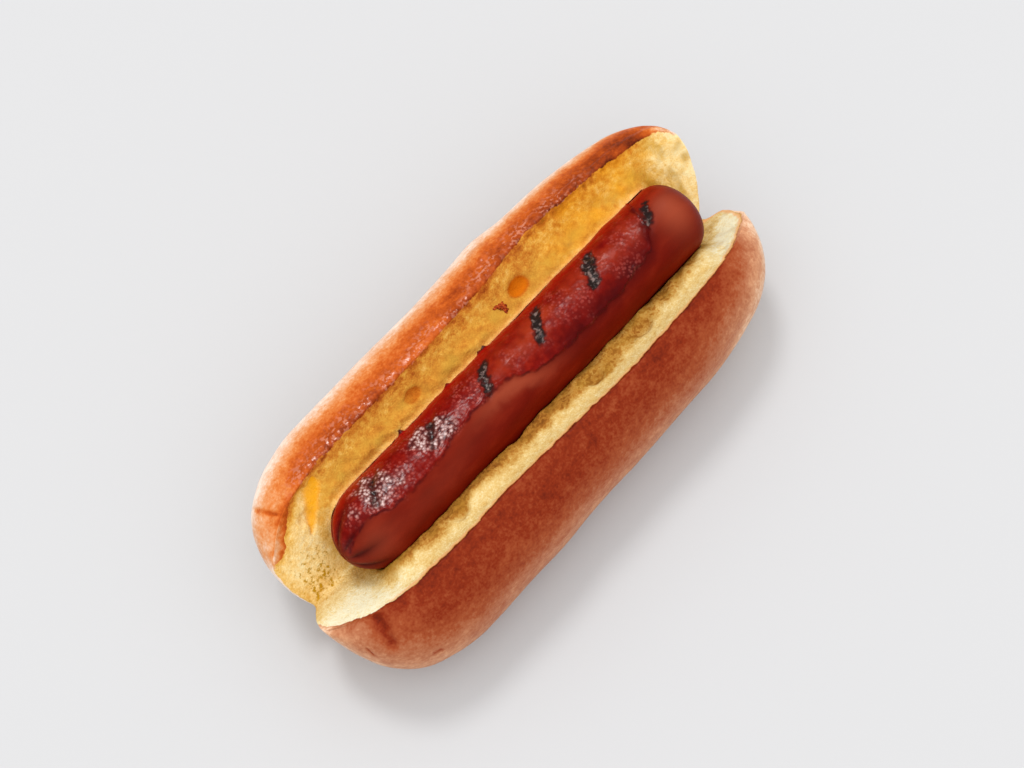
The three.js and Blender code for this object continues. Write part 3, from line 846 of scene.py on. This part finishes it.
def build_flake(material, bun_points, bun_normals):
    """A jagged curled strip with closed ends, whose underside is sunk into the crumb."""
    nearest = np.argmin(np.linalg.norm(bun_points - FLAKE_AT, axis=1))
    place, up = bun_points[nearest], bun_normals[nearest]
    sideways = np.cross(up, (1.0, 0.0, 0.0))
    sideways = sideways / np.linalg.norm(sideways)
    onward = np.cross(sideways, up)
    bends = np.linspace(*FLAKE_TURNS, FLAKE_STEPS + 2)[1:-1]
    rings = np.linspace(0, 2 * np.pi, FLAKE_RING, endpoint=False)
    bend, ring = np.meshgrid(bends, rings, indexing="ij")
    part = (bend - FLAKE_TURNS[0]) / (FLAKE_TURNS[1] - FLAKE_TURNS[0])
    flat = np.stack([3 * bend.ravel(), np.cos(ring).ravel(), np.sin(ring).ravel()], axis=-1)
    jagged = (1 + 0.7 * noise(flat, 0.7, 71)).reshape(bend.shape)
    plump = np.sin(np.pi * part) ** 0.6 * jagged
    radius = (FLAKE_BEND + FLAKE_HALF_WIDTH * plump * np.cos(ring))[..., None]
    lift = FLAKE_HALF_HEIGHT * (FLAKE_LIFT + plump * np.sin(ring))[..., None]
    bend = bend[..., None]
    across = radius * np.sin(bend) * FLAKE_STRETCH
    grid = place + radius * np.cos(bend) * onward + across * sideways + lift * up
    points = np.concatenate([grid.reshape(-1, 3), grid[[0, -1]].mean(axis=1)])
    index = np.arange(ring.size).reshape(ring.shape)
    faces = closed_rings(index, ring.size)
    make_piece("crust_flake", points, faces, {}, material)


def closed_rings(index, tip):
    """Faces of a row of rings that ends in two tips, the points numbered `tip` and the next."""
    index = np.concatenate([index, index[:, :1]], axis=1)
    faces = grid_quads(index).tolist()
    faces += [[tip, int(b), int(a)] for a, b in zip(index[0, :-1], index[0, 1:])]
    faces += [[tip + 1, int(a), int(b)] for a, b in zip(index[-1, :-1], index[-1, 1:])]
    return faces


# ---- fine relief and shader numbers of the sausage

# x, turn, radius, strength of the wettest, most blistered spots
WET_SPOTS = (
    (-45.0, 0.36, 7.0, 1.0), (-39.0, 0.15, 4.0, 0.7), (-28.0, 0.32, 5.5, 1.0), (-22.5, 0.20, 4.5, 1.0),
    (-13.0, 0.28, 5.5, 0.55), (-53.0, 0.35, 3.5, 0.7), (2.0, 0.10, 3.5, 0.35), (18.0, 0.25, 5.0, 0.5),
    (24.0, 0.05, 4.0, 0.4), (33.0, 0.40, 4.0, 0.45), (44.0, 0.20, 4.5, 0.45), (38.0, -0.25, 4.0, 0.3),
    (52.0, 0.20, 3.5, 0.6), (-33.0, 0.75, 3.0, 0.5),
)

# x, turn of the charred crags that stick out of the blistered side
CRAGS = ((-29.7, 1.10), (0.0, 1.12), (-1.6, 1.12), (-13.2, 1.15))
CRAG_HEIGHT = 0.9
CRAG_WIDTH = 0.7
CRAG_CHAR = 0.55

# each grill mark's strength, length and width: of its dent, which is whole, and of its char
WHOLE_MARKS = ((1, 1, 1),) * len(GRILL_MARKS_X)
GRILL_CHAR = (
    (0.58, 0.7, 1.0), (0.58, 0.7, 1.1), (1.0, 0.85, 1.2), (1.05, 1.0, 1.15), (1.0, 1.0, 1.45),
    (0.85, 0.75, 1.15),
)

RED_END = 2.3  # turn at which the band's red ends
BAND_SOFTNESS = 0.3  # half the turn over which the band and its red end
RED_TIP = 0.85  # redness of the +X end past the band
BAND_RISE = 0.28
CRACK_DEPTH = 0.08

# layers of noise: height, size, seed
EDGE_WANDER = ((0.05, 2.2, 41), (0.03, 0.9, 42))
CHAR_PATCHES = ((0.30, 1.8, 43), (0.26, 0.8, 44))
EMBER_PATCHES = ((0.5, 5.0, 54), (0.4, 1.8, 56))
BRUISE_PATCHES = ((0.4, 3.0, 55), (0.2, 1.2, 57))

# blisters: height, size, seed, share
BLISTERS = ((0.10, 1.0, 45, 0.7), (0.08, 0.55, 46, 0.8))


def sausage_grid():
    x = (NEAR_TIP + FAR_TIP) / 2 + spread(SAUSAGE_STATIONS, crowd_ends) * (FAR_TIP - NEAR_TIP) / 2
    turn = spread(SAUSAGE_STEPS, crowd_top) * np.pi
    return np.meshgrid(x[1:-1], turn[:-1], indexing="ij")


def skin_distance(x, turn, at_x, at_turn):
    return np.hypot(x - at_x, SAUSAGE_RADIUS[0] * (turn - at_turn))


def grill_marks(x, turn, kinds):
    marks = np.zeros(len(x))
    for mark_x, (strength, length, width) in zip(GRILL_MARKS_X, kinds):
        across = (x - mark_x - GRILL_MARK_SLANT * (turn - GRILL_MARK_ANGLE)) / (GRILL_MARK_WIDTH * width)
        way = (turn - GRILL_MARK_ANGLE) / (GRILL_MARK_SPREAD * length)
        marks += strength * hump(across) * hump(way ** 3)
    return marks


def wetness(x, turn, flat):
    total = np.zeros(len(x))
    for at_x, at_turn, radius, strength in WET_SPOTS:
        total = np.maximum(total, strength * hump((skin_distance(x, turn, at_x, at_turn) / radius) ** 2))
    return np.clip(total + 0.25 * noise(flat, 2.5, 51), 0, 1)


def charred_crags(x, turn, flat):
    jagged = 1 + 0.8 * noise(flat, 0.7, 53)
    return sum(hump(skin_distance(x, turn, *crag) / CRAG_WIDTH) * jagged for crag in CRAGS)


def gathered_tip(turn, from_near):
    shape = np.abs(np.sin(GATHER_CREASES * turn / 2 + GATHER_SKEW * np.sin(turn)))
    depth = GATHER_DEPTH * (1 - shape) * hump(from_near / GATHER_LENGTH)
    return depth * np.minimum(from_near / GATHER_START, 1)


def skin_facts(x, turn):
    """How much each point of the skin has of the band, its red, char, wet spots and so on."""
    radius = sausage_radius(x)
    flat = np.stack([x, radius * np.sin(turn), radius * np.cos(turn)], axis=-1)
    edge = through(BLISTER_EDGE, x) + layers(flat, EDGE_WANDER)
    skin = SimpleNamespace(
        x=x, turn=turn, radius=radius, flat=flat, past_edge=(turn - edge) * SAUSAGE_RADIUS[0],
        from_near=x - NEAR_TIP, from_far=FAR_TIP - x,
    )
    before_end = smooth(RED_END - turn, -BAND_SOFTNESS, BAND_SOFTNESS)
    red = smooth(skin.past_edge, -0.5, 0.5) * before_end
    red_tip = RED_TIP * smooth(turn, 0.25, 0.60) * smooth(x, 48, 52) * before_end
    on_caps = smooth(skin.from_far, 1.5, 6.0) * smooth(skin.from_near, 0.2, 2.0)
    char = grill_marks(x, turn, GRILL_CHAR)
    skin.band = red * smooth(BLISTER_END - turn, -BAND_SOFTNESS, BAND_SOFTNESS)
    skin.red = np.maximum(red, red_tip) * on_caps
    skin.char = char + layers(flat, CHAR_PATCHES) * smooth(char, 0.02, 0.35)
    skin.wet = wetness(x, turn, flat) * smooth(skin.past_edge, -1.5, 0.5)
    skin.crags = charred_crags(x, turn, flat)
    skin.gathers = gathered_tip(turn, skin.from_near)
    return skin


def skin_relief(skin):
    """Height of all that stands out of the plain round skin, apart from the gathered tip."""
    x, turn, flat = skin.x, skin.turn, skin.flat
    uneven = SAUSAGE_UNEVENNESS * waves(x, SAUSAGE_RADIUS[0] * np.sin(turn), SAUSAGE_WAVE_STRETCH)
    dents = GRILL_MARK_DEPTH * grill_marks(x, turn, WHOLE_MARKS)
    ridge = (0.26 + 0.14 * noise(flat, 3.0, 52)) * peak(skin.past_edge, 0.6, 0.7)
    ridge = ridge * smooth(skin.from_far, 8, 14)
    wrinkles = 0.12 * noise(flat * (0.5, 1, 1), 2.2, 47) + 0.06 * noise(flat, 0.9, 48)
    blisters = dome_layers(flat, BLISTERS) * (0.25 + skin.wet)
    nearest, second, _ = cells(flat, 0.9, 49)
    cracks = CRACK_DEPTH * (1 - smooth(second - nearest, 0.0, 0.25))
    cinder = smooth(skin.char, 0.35, 0.8) * (0.10 * noise(flat, 0.8, 50) - cracks)
    relief = uneven - dents + BAND_RISE * (skin.band - 0.5) + ridge + CRAG_HEIGHT * skin.crags
    relief = relief + skin.band * (wrinkles + blisters) + cinder
    return relief + skin_bulge(x) * peak(turn, BULGE_TURN, BULGE_SPREAD)


def painted_skin_highlight(skin):
    """Painted highlight on the smooth skin: paler below the band, and at both ends."""
    middle = 0.70 * peak(skin.past_edge, -2.0, 2.1) * peak(skin.x, -4, 11)
    near = 0.15 * peak(skin.past_edge, -4.5, 4.0) * peak(skin.x, -35, 18)
    tip = 0.35 * peak(skin.x, -54, 5.0) * peak(skin.turn, -0.7, 0.6)
    far = 0.75 * peak(skin.x, 57, 5.0) * peak(skin.turn, -0.1, 0.7)
    return (middle + near + tip + far) * (1 - skin.red)


def skin_ember(skin):
    """The orange-red middle of the blistered band toward the +X end."""
    uneven = patchy(skin.flat, 0.6, EMBER_PATCHES)
    return 0.8 * peak(skin.turn, 0.32, 0.36) * smooth(skin.x, -14, 2) * uneven * skin.red


def skin_bruise(skin):
    """The dark purple zone inside the band's lower edge toward the +X end."""
    uneven = patchy(skin.flat, 0.9, BRUISE_PATCHES)
    return peak(skin.past_edge, 1.0, 3.0) * smooth(skin.x, 2, 20) * uneven * smooth(skin.from_far, 10, 16)


def build_sausage(material):
    x_grid, turn_grid = sausage_grid()
    skin = skin_facts(x_grid.ravel(), turn_grid.ravel())
    body = np.clip(np.minimum(skin.from_near, skin.from_far) / NEAR_CAP, 0, 1)
    radius = skin.radius + body * skin_relief(skin) - skin.gathers
    y = sausage_axis_y(skin.x) + radius * np.sin(skin.turn)
    z = SAUSAGE_AXIS_Z + radius * np.cos(skin.turn)
    tips_x = (FAR_TIP, NEAR_TIP + GATHER_DIMPLE)
    tips = [[tip_x, sausage_axis_y(tip_x), SAUSAGE_AXIS_Z] for tip_x in tips_x]
    points = np.concatenate([np.stack([skin.x, y, z], axis=-1), tips])
    from_far_end = np.arange(x_grid.size).reshape(x_grid.shape)[::-1]
    faces = closed_rings(from_far_end, x_grid.size)

    values = dict(
        band=skin.red, edge=skin.past_edge, wet=skin.wet, pale_speckle=smooth(skin.wet, 0.6, 0.95) * skin.band,
        char=skin.char + CRAG_CHAR * np.clip(1.6 * skin.crags, 0, 1),
        # shade: a brighter red on the +Y flank, partly the band's own red, partly painted light against the
        # crumb's shade
        shade=smooth(skin.turn, 0.6, 1.1) * skin.red, ember=skin_ember(skin), bruise=skin_bruise(skin),
        painted_highlight=painted_skin_highlight(skin), crease=np.clip(1.5 * skin.gathers / GATHER_DEPTH, 0, 1),
    )
    values = {name: np.append(numbers, [numbers[-1], numbers[0]]) for name, numbers in values.items()}
    piece = make_piece("sausage_grilled", points, faces, values, material)
    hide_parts("sausage")


# ---- materials

def colour(red, green, blue):
    """A shader colour from the usual 0 to 255 scale."""
    def linear(value):
        value = value / 255
        return value / 12.92 if value <= 0.04045 else ((value + 0.055) / 1.055) ** 2.4
    return (linear(red), linear(green), linear(blue), 1.0)


class Number:
    """A number in a shader, with arithmetic."""

    def __init__(self, shader, socket):
        self.shader = shader
        self.socket = socket

    def calc(self, operation, other=0.0):
        made = self.shader.node("ShaderNodeMath", operation=operation)
        return self.shader.feed(made, {0: self, 1: other}).number(made.outputs[0])

    def __add__(self, other):
        return self.calc("ADD", other)

    def __mul__(self, other):
        return self.calc("MULTIPLY", other)

    def __abs__(self):
        return self.calc("ABSOLUTE")

    def swing(self, amount):
        """A 0 to 1 number turned into one that swings by `amount` about zero."""
        return self.calc("SUBTRACT", 0.5) * (2 * amount)

    def between(self, low, high):
        return self.shader.between(self, low, high)

    def blend(self, a, b):
        """The colour `a` where this is 0 and `b` where it is 1."""
        made = self.shader.node("ShaderNodeMix", data_type="RGBA")
        self.shader.feed(made, {0: self, 6: a, 7: b})
        return made.outputs[2]

    def mix(self, a, b):
        """The number `a` where this is 0 and `b` where it is 1."""
        made = self.shader.node("ShaderNodeMix", data_type="FLOAT")
        return self.shader.feed(made, {0: self, 2: a, 3: b}).number(made.outputs[0])

    def ramp(self, stops):
        made = self.shader.node("ShaderNodeValToRGB")
        self.shader.feed(made, {"Fac": self})
        elements = made.color_ramp.elements
        while len(elements) < len(stops):
            elements.new(0.5)
        for element, (place, shade) in zip(elements, stops):
            element.position = place
            element.color = colour(*shade)
        return made.outputs["Color"]


class Shader:
    """The nodes of a material or a world, added by short calls; colours are on the 0 to 255 scale."""

    def __init__(self, owner):
        self.tree = owner.node_tree
        self.place = self.node("ShaderNodeTexCoord").outputs

    def node(self, kind, **settings):
        made = self.tree.nodes.new(kind)
        for name, value in settings.items():
            setattr(made, name, value)
        return made

    def feed(self, node, inputs):
        """Links a node's inputs, by name or number, to other sockets, or sets their values."""
        for name, value in inputs.items():
            value = value.socket if isinstance(value, Number) else value
            if isinstance(value, bpy.types.NodeSocket):
                self.tree.links.new(value, node.inputs[name])
            else:
                node.inputs[name].default_value = colour(*value) if isinstance(value, tuple) else value
        return self

    def number(self, socket):
        return Number(self, socket)

    def numbers(self, *names):
        """The mesh's own numbers."""
        nodes = [self.node("ShaderNodeAttribute", attribute_name=name) for name in names]
        return [self.number(node.outputs["Fac"]) for node in nodes]

    def between(self, value, low, high, start=0.0, end=1.0):
        """Goes smoothly from `start` where the value is `low` to `end` where it is `high`."""
        made = self.node("ShaderNodeMapRange", interpolation_type="SMOOTHSTEP")
        self.feed(made, {"Value": value, "From Min": low, "From Max": high, "To Min": start, "To Max": end})
        return self.number(made.outputs["Result"])

    def noise(self, size, detail, stretch=None):
        """Noise from 0 to 1 with lumps about `size` millimetres across."""
        texture = self.node("ShaderNodeTexNoise")
        place = self.place["Object"]
        if stretch:
            mapping = self.node("ShaderNodeMapping")
            self.feed(mapping, {"Vector": place, "Scale": [1 / s for s in stretch]})
            place = mapping.outputs["Vector"]
        self.feed(texture, {"Vector": place, "Scale": 1 / (size * MM), "Detail": detail})
        return self.number(texture.outputs["Fac"])

    def specks(self, size):
        """Distance to scattered points, from 0 to about 1."""
        texture = self.node("ShaderNodeTexVoronoi")
        self.feed(texture, {"Vector": self.place["Object"], "Scale": 1 / (size * MM)})
        return self.number(texture.outputs["Distance"])

    def bump(self, height, depth):
        """Relief of `depth` millimetres where the height goes from 0 to 1."""
        made = self.node("ShaderNodeBump")
        self.feed(made, {"Height": height, "Distance": depth * MM})
        return made.outputs["Normal"]


class Material(Shader):
    """The nodes of a material with one principled surface."""

    def __init__(self, name):
        self.material = bpy.data.materials.new(name)
        self.material.use_nodes = True
        super().__init__(self.material)

    def finish(self, **inputs):
        """Feeds the surface, whose inputs are named with _ for a space, and returns the material."""
        inputs = {name.replace("_", " "): value for name, value in inputs.items()}
        self.feed(self.tree.nodes["Principled BSDF"], inputs)
        return self.material


WIDE_TOAST_STOPS = (
    (0.00, (246, 226, 172)), (0.15, (242, 208, 140)), (0.30, (228, 182, 98)), (0.46, (213, 153, 60)),
    (0.62, (193, 118, 38)), (0.80, (160, 76, 20)), (1.00, (106, 44, 14)),
)
# painted shade: the narrow half's crumb, which faces the main light, takes darker, greyer stops than the
# wide half's
NARROW_TOAST_STOPS = (
    (0.00, (228, 222, 192)), (0.12, (222, 202, 150)), (0.25, (208, 176, 110)), (0.40, (190, 146, 76)),
    (0.55, (168, 112, 46)), (0.75, (138, 78, 26)), (1.00, (96, 40, 12)),
)
WIDE_CRUST_STOPS = (
    (0.00, (240, 218, 200)), (0.16, (226, 186, 158)), (0.30, (214, 150, 102)), (0.45, (204, 116, 54)),
    (0.60, (186, 84, 22)), (0.80, (146, 56, 10)), (1.00, (90, 30, 8)),
)
NARROW_CRUST_STOPS = (
    (0.00, (232, 196, 164)), (0.20, (200, 142, 104)), (0.40, (172, 106, 72)), (0.60, (152, 72, 38)),
    (0.80, (128, 40, 12)), (1.00, (90, 22, 8)),
)
OLIVE = (186, 142, 52)
NARROW_OLIVE = (158, 116, 38)
SMUDGE = (186, 138, 26)
SYRUP = (202, 108, 4)
HONEY = (240, 166, 12)
PEACH = (222, 158, 108)
SHEEN = (208, 136, 108)
CRUMB_ROUGHNESS = 0.85
CRUST_ROUGHNESS = 0.42
CRUST_NOISES = ((0.6, 3, 0.14), (3.0, 3, 0.12), (1.3, 4, 0.16))  # size, detail, swing of the bake


def bun_material():
    shader = Material("brioche")
    rim, toast, bake, wide, oil = shader.numbers("rim", "toast", "bake", "wide", "oil")
    pore, speckled, olive, smudge = shader.numbers("pore", "speckled", "olive", "smudge")
    fine = shader.noise(0.45, 2)
    is_crumb = (rim + shader.noise(0.8, 3).swing(0.5)).between(-0.15, 0.15)

    mottled = (wide.mix(0.07, 0.16) + speckled * 0.10) * shader.noise(1.3, 3).swing(1.0)
    dots = shader.noise(1.0, 1).between(0.48, 0.60) * speckled
    # pores are darker: painted shade in the pits
    toast = toast + fine.swing(0.18) + mottled + dots * 0.24 + pore * 0.35
    crumb = wide.blend(toast.ramp(NARROW_TOAST_STOPS), toast.ramp(WIDE_TOAST_STOPS))
    crumb = olive.blend(crumb, wide.blend(NARROW_OLIVE, OLIVE))
    smudges = (smudge + shader.noise(1.0, 3).swing(1.3)).between(0.46, 0.86)
    crumb = (smudges * smudge.between(0.04, 0.30)).blend(crumb, SMUDGE)
    for part, shade in zip(shader.numbers("syrup", "honey", "peach"), (SYRUP, HONEY, PEACH)):
        crumb = part.blend(crumb, shade)

    for size, detail, swing in CRUST_NOISES:
        bake = bake + shader.noise(size, detail).swing(swing)
    crust = wide.blend(bake.ramp(NARROW_CRUST_STOPS), bake.ramp(WIDE_CRUST_STOPS))
    glints = oil * shader.noise(1.0, 2).between(0.48, 0.62)
    crust = (glints * 0.6).blend(crust, SHEEN)

    crust_roughness = shader.noise(1.5, 3).swing(0.10) + CRUST_ROUGHNESS
    relief = is_crumb.mix(shader.noise(0.9, 4) * 0.6, fine)
    return shader.finish(
        Base_Color=is_crumb.blend(crust, crumb),
        Roughness=is_crumb.mix(crust_roughness, CRUMB_ROUGHNESS),
        Specular_IOR_Level=0.08,
        Coat_Weight=glints * 0.8,
        Coat_Roughness=0.15,
        Normal=shader.bump(relief, 0.20),
    )


FLAKE_STOPS = ((0.3, (84, 24, 6)), (0.5, (138, 44, 8)), (0.7, (180, 84, 28)))


def flake_material():
    shader = Material("flake")
    tone = shader.noise(0.5, 3)
    return shader.finish(
        Base_Color=tone.ramp(FLAKE_STOPS),
        Roughness=0.6,
        Specular_IOR_Level=0.1,
        Normal=shader.bump(tone, 0.15),
    )


SKIN_STOPS = ((0.0, (82, 8, 2)), (0.5, (102, 15, 3)), (1.0, (128, 32, 12)))
BAND_STOPS = ((0.0, (74, 2, 3)), (0.5, (112, 10, 4)), (1.0, (146, 32, 14)))
PALE_SPECKLE_STOPS = (
    (0.20, (204, 180, 174)), (0.40, (168, 132, 126)), (0.56, (124, 72, 66)), (0.76, (66, 26, 26)),
)
EMBER = (148, 46, 18)
BRUISE = (72, 6, 6)
FLANK_LIGHT_RED = (150, 10, 5)
PAINTED_HIGHLIGHT = (150, 66, 42)
PINK_GLINT = (204, 96, 84)
BAND_LINE = (70, 8, 12)
TIP_CREASE_SHADE = (46, 5, 6)
SINGED = (66, 16, 12)
CHAR = (36, 26, 24)
CHAR_GLINT = (160, 134, 126)
SKIN_ROUGHNESS = 0.42
BAND_ROUGHNESS = 0.36


def sausage_material():
    shader = Material("grilled_skin")
    band, edge, wet, pale_speckle, char = shader.numbers("band", "edge", "wet", "pale_speckle", "char")
    ember, bruise, shade, painted_highlight, crease = shader.numbers("ember", "bruise", "shade", "painted_highlight", "crease")
    skin = shader.noise(3.5, 3, stretch=(2.5, 1, 1)).ramp(SKIN_STOPS)
    base = band.blend(skin, shader.noise(1.6, 3).ramp(BAND_STOPS))
    base = ember.blend(base, EMBER)
    base = bruise.blend(base, BRUISE)
    # brighter red on the +Y flank: partly the band's own red, partly painted light against the shade of the
    # crumb beside it
    base = (shade * 0.85).blend(base, FLANK_LIGHT_RED)
    # painted highlight on the smooth skin below the band and at both ends
    base = painted_highlight.blend(base, PAINTED_HIGHLIGHT)

    specks = shader.specks(0.9) + shader.noise(1.2, 3).swing(0.34)
    dots = specks.between(0.52, 0.22)
    # painted glints: pink dots on the wet, blistered band
    base = (dots * wet * 0.5).blend(base, PINK_GLINT)
    # pale grey-white speckle in the wettest spots of the band
    base = (pale_speckle * 0.85).blend(base, specks.ramp(PALE_SPECKLE_STOPS))
    broken = shader.noise(3.0, 2).between(0.38, 0.60) * 0.7
    base = (abs(edge).between(0.9, 0.0) * broken).blend(base, BAND_LINE)
    # painted shade in the gathered creases at the -X tip
    base = (crease * 0.75).blend(base, TIP_CREASE_SHADE)

    charred = char + shader.noise(1.0, 3).swing(0.30)
    # painted highlight: grey-white glints in the char of the grill marks
    char_glints = shader.noise(1.3, 2).between(0.48, 0.68) * 0.5
    base = charred.between(0.10, 0.60).blend(base, SINGED)
    base = charred.between(0.42, 0.85).blend(base, char_glints.blend(CHAR, CHAR_GLINT))
    relief = dots * (wet + 0.05) + shader.noise(0.4, 2) * 0.25
    return shader.finish(
        Base_Color=base,
        Roughness=band.mix(SKIN_ROUGHNESS, BAND_ROUGHNESS),
        Specular_IOR_Level=0.05,
        Coat_Weight=wet * 0.8,
        Coat_Roughness=0.27,
        Normal=shader.bump(relief, 0.16),
    )


# ---- floor, light and camera

FLOOR_SIZE = 6.0
FLOOR_SHADE = (190, 190, 191)
LIGHT_FROM = (0.13, 0.48, 0.87)  # toward the main light: high, on the side of the wide half
KEY_WIDTH = math.radians(15)
KEY_STRENGTH = 1.06
DOME_TOWARD = (-0.10, -0.20, 0.97)  # where the soft light from all round is brightest
DOME_SPREAD = (-0.1, 0.9)  # cosines of the angles to it at which the light is least and most
DOME_STRENGTH = (0.67, 1.49)

CAMERA_ELEVATION = math.radians(70.0)
CAMERA_AZIMUTH = math.radians(-46.9)
CAMERA_DISTANCE = 0.600
CAMERA_AIM = (0, 0, 0.018)
CAMERA_CLIP = 0.01
IMAGE_WIDTH, IMAGE_HEIGHT = 1024, 768
AIM_PIXEL = (516, 396)
PIXELS_PER_METRE = 4020  # at the aim point
SENSOR = 36.0


def build_floor():
    mesh = bpy.data.meshes.new("floor")
    half = FLOOR_SIZE / 2
    corners = [(-half, -half, 0), (half, -half, 0), (half, half, 0), (-half, half, 0)]
    mesh.from_pydata(corners, [], [(0, 1, 2, 3)])
    material = Material("pale_floor").finish(Base_Color=FLOOR_SHADE, Roughness=0.9, Specular_IOR_Level=0.0)
    mesh.materials.append(material)
    floor = bpy.data.objects.new("floor", mesh)
    bpy.context.collection.objects.link(floor)


def build_light():
    key = bpy.data.lights.new("key", "SUN")
    key.angle = KEY_WIDTH
    key.energy = KEY_STRENGTH
    lamp = bpy.data.objects.new("key", key)
    lamp.rotation_mode = "QUATERNION"
    lamp.rotation_quaternion = Vector(LIGHT_FROM).to_track_quat("Z", "Y")
    bpy.context.collection.objects.link(lamp)

    world = bpy.data.worlds.new("studio")
    bpy.context.scene.world = world
    world.use_nodes = True
    world.cycles_visibility.glossy = False
    shader = Shader(world)
    toward = shader.node("ShaderNodeVectorMath", operation="DOT_PRODUCT")
    shader.feed(toward, {0: shader.place["Generated"], 1: Vector(DOME_TOWARD).normalized()})
    strength = shader.between(toward.outputs["Value"], *DOME_SPREAD, *DOME_STRENGTH)
    shader.feed(shader.tree.nodes["Background"], {"Color": (255, 255, 255), "Strength": strength})


def build_camera():
    data = bpy.data.cameras.new("camera")
    data.sensor_width = SENSOR
    data.lens = PIXELS_PER_METRE * CAMERA_DISTANCE * SENSOR / IMAGE_WIDTH
    data.shift_x = (IMAGE_WIDTH / 2 - AIM_PIXEL[0]) / IMAGE_WIDTH
    data.shift_y = (AIM_PIXEL[1] - IMAGE_HEIGHT / 2) / IMAGE_WIDTH
    data.clip_start = CAMERA_CLIP
    level = math.cos(CAMERA_ELEVATION)
    back_x = math.sin(CAMERA_AZIMUTH) * level
    back_y = -math.cos(CAMERA_AZIMUTH) * level
    back = Vector((back_x, back_y, math.sin(CAMERA_ELEVATION)))
    camera = bpy.data.objects.new("camera", data)
    camera.location = Vector(CAMERA_AIM) + CAMERA_DISTANCE * back
    camera.rotation_mode = "QUATERNION"
    camera.rotation_quaternion = (-back).to_track_quat("-Z", "Y")
    bpy.context.collection.objects.link(camera)
    bpy.context.scene.camera = camera


# ---- the whole

crumb_points, crumb_normals = build_bun(bun_material())
build_flake(flake_material(), crumb_points, crumb_normals)
build_sausage(sausage_material())
build_floor()
build_light()
build_camera()
bpy.context.scene.view_settings.view_transform = "Standard"
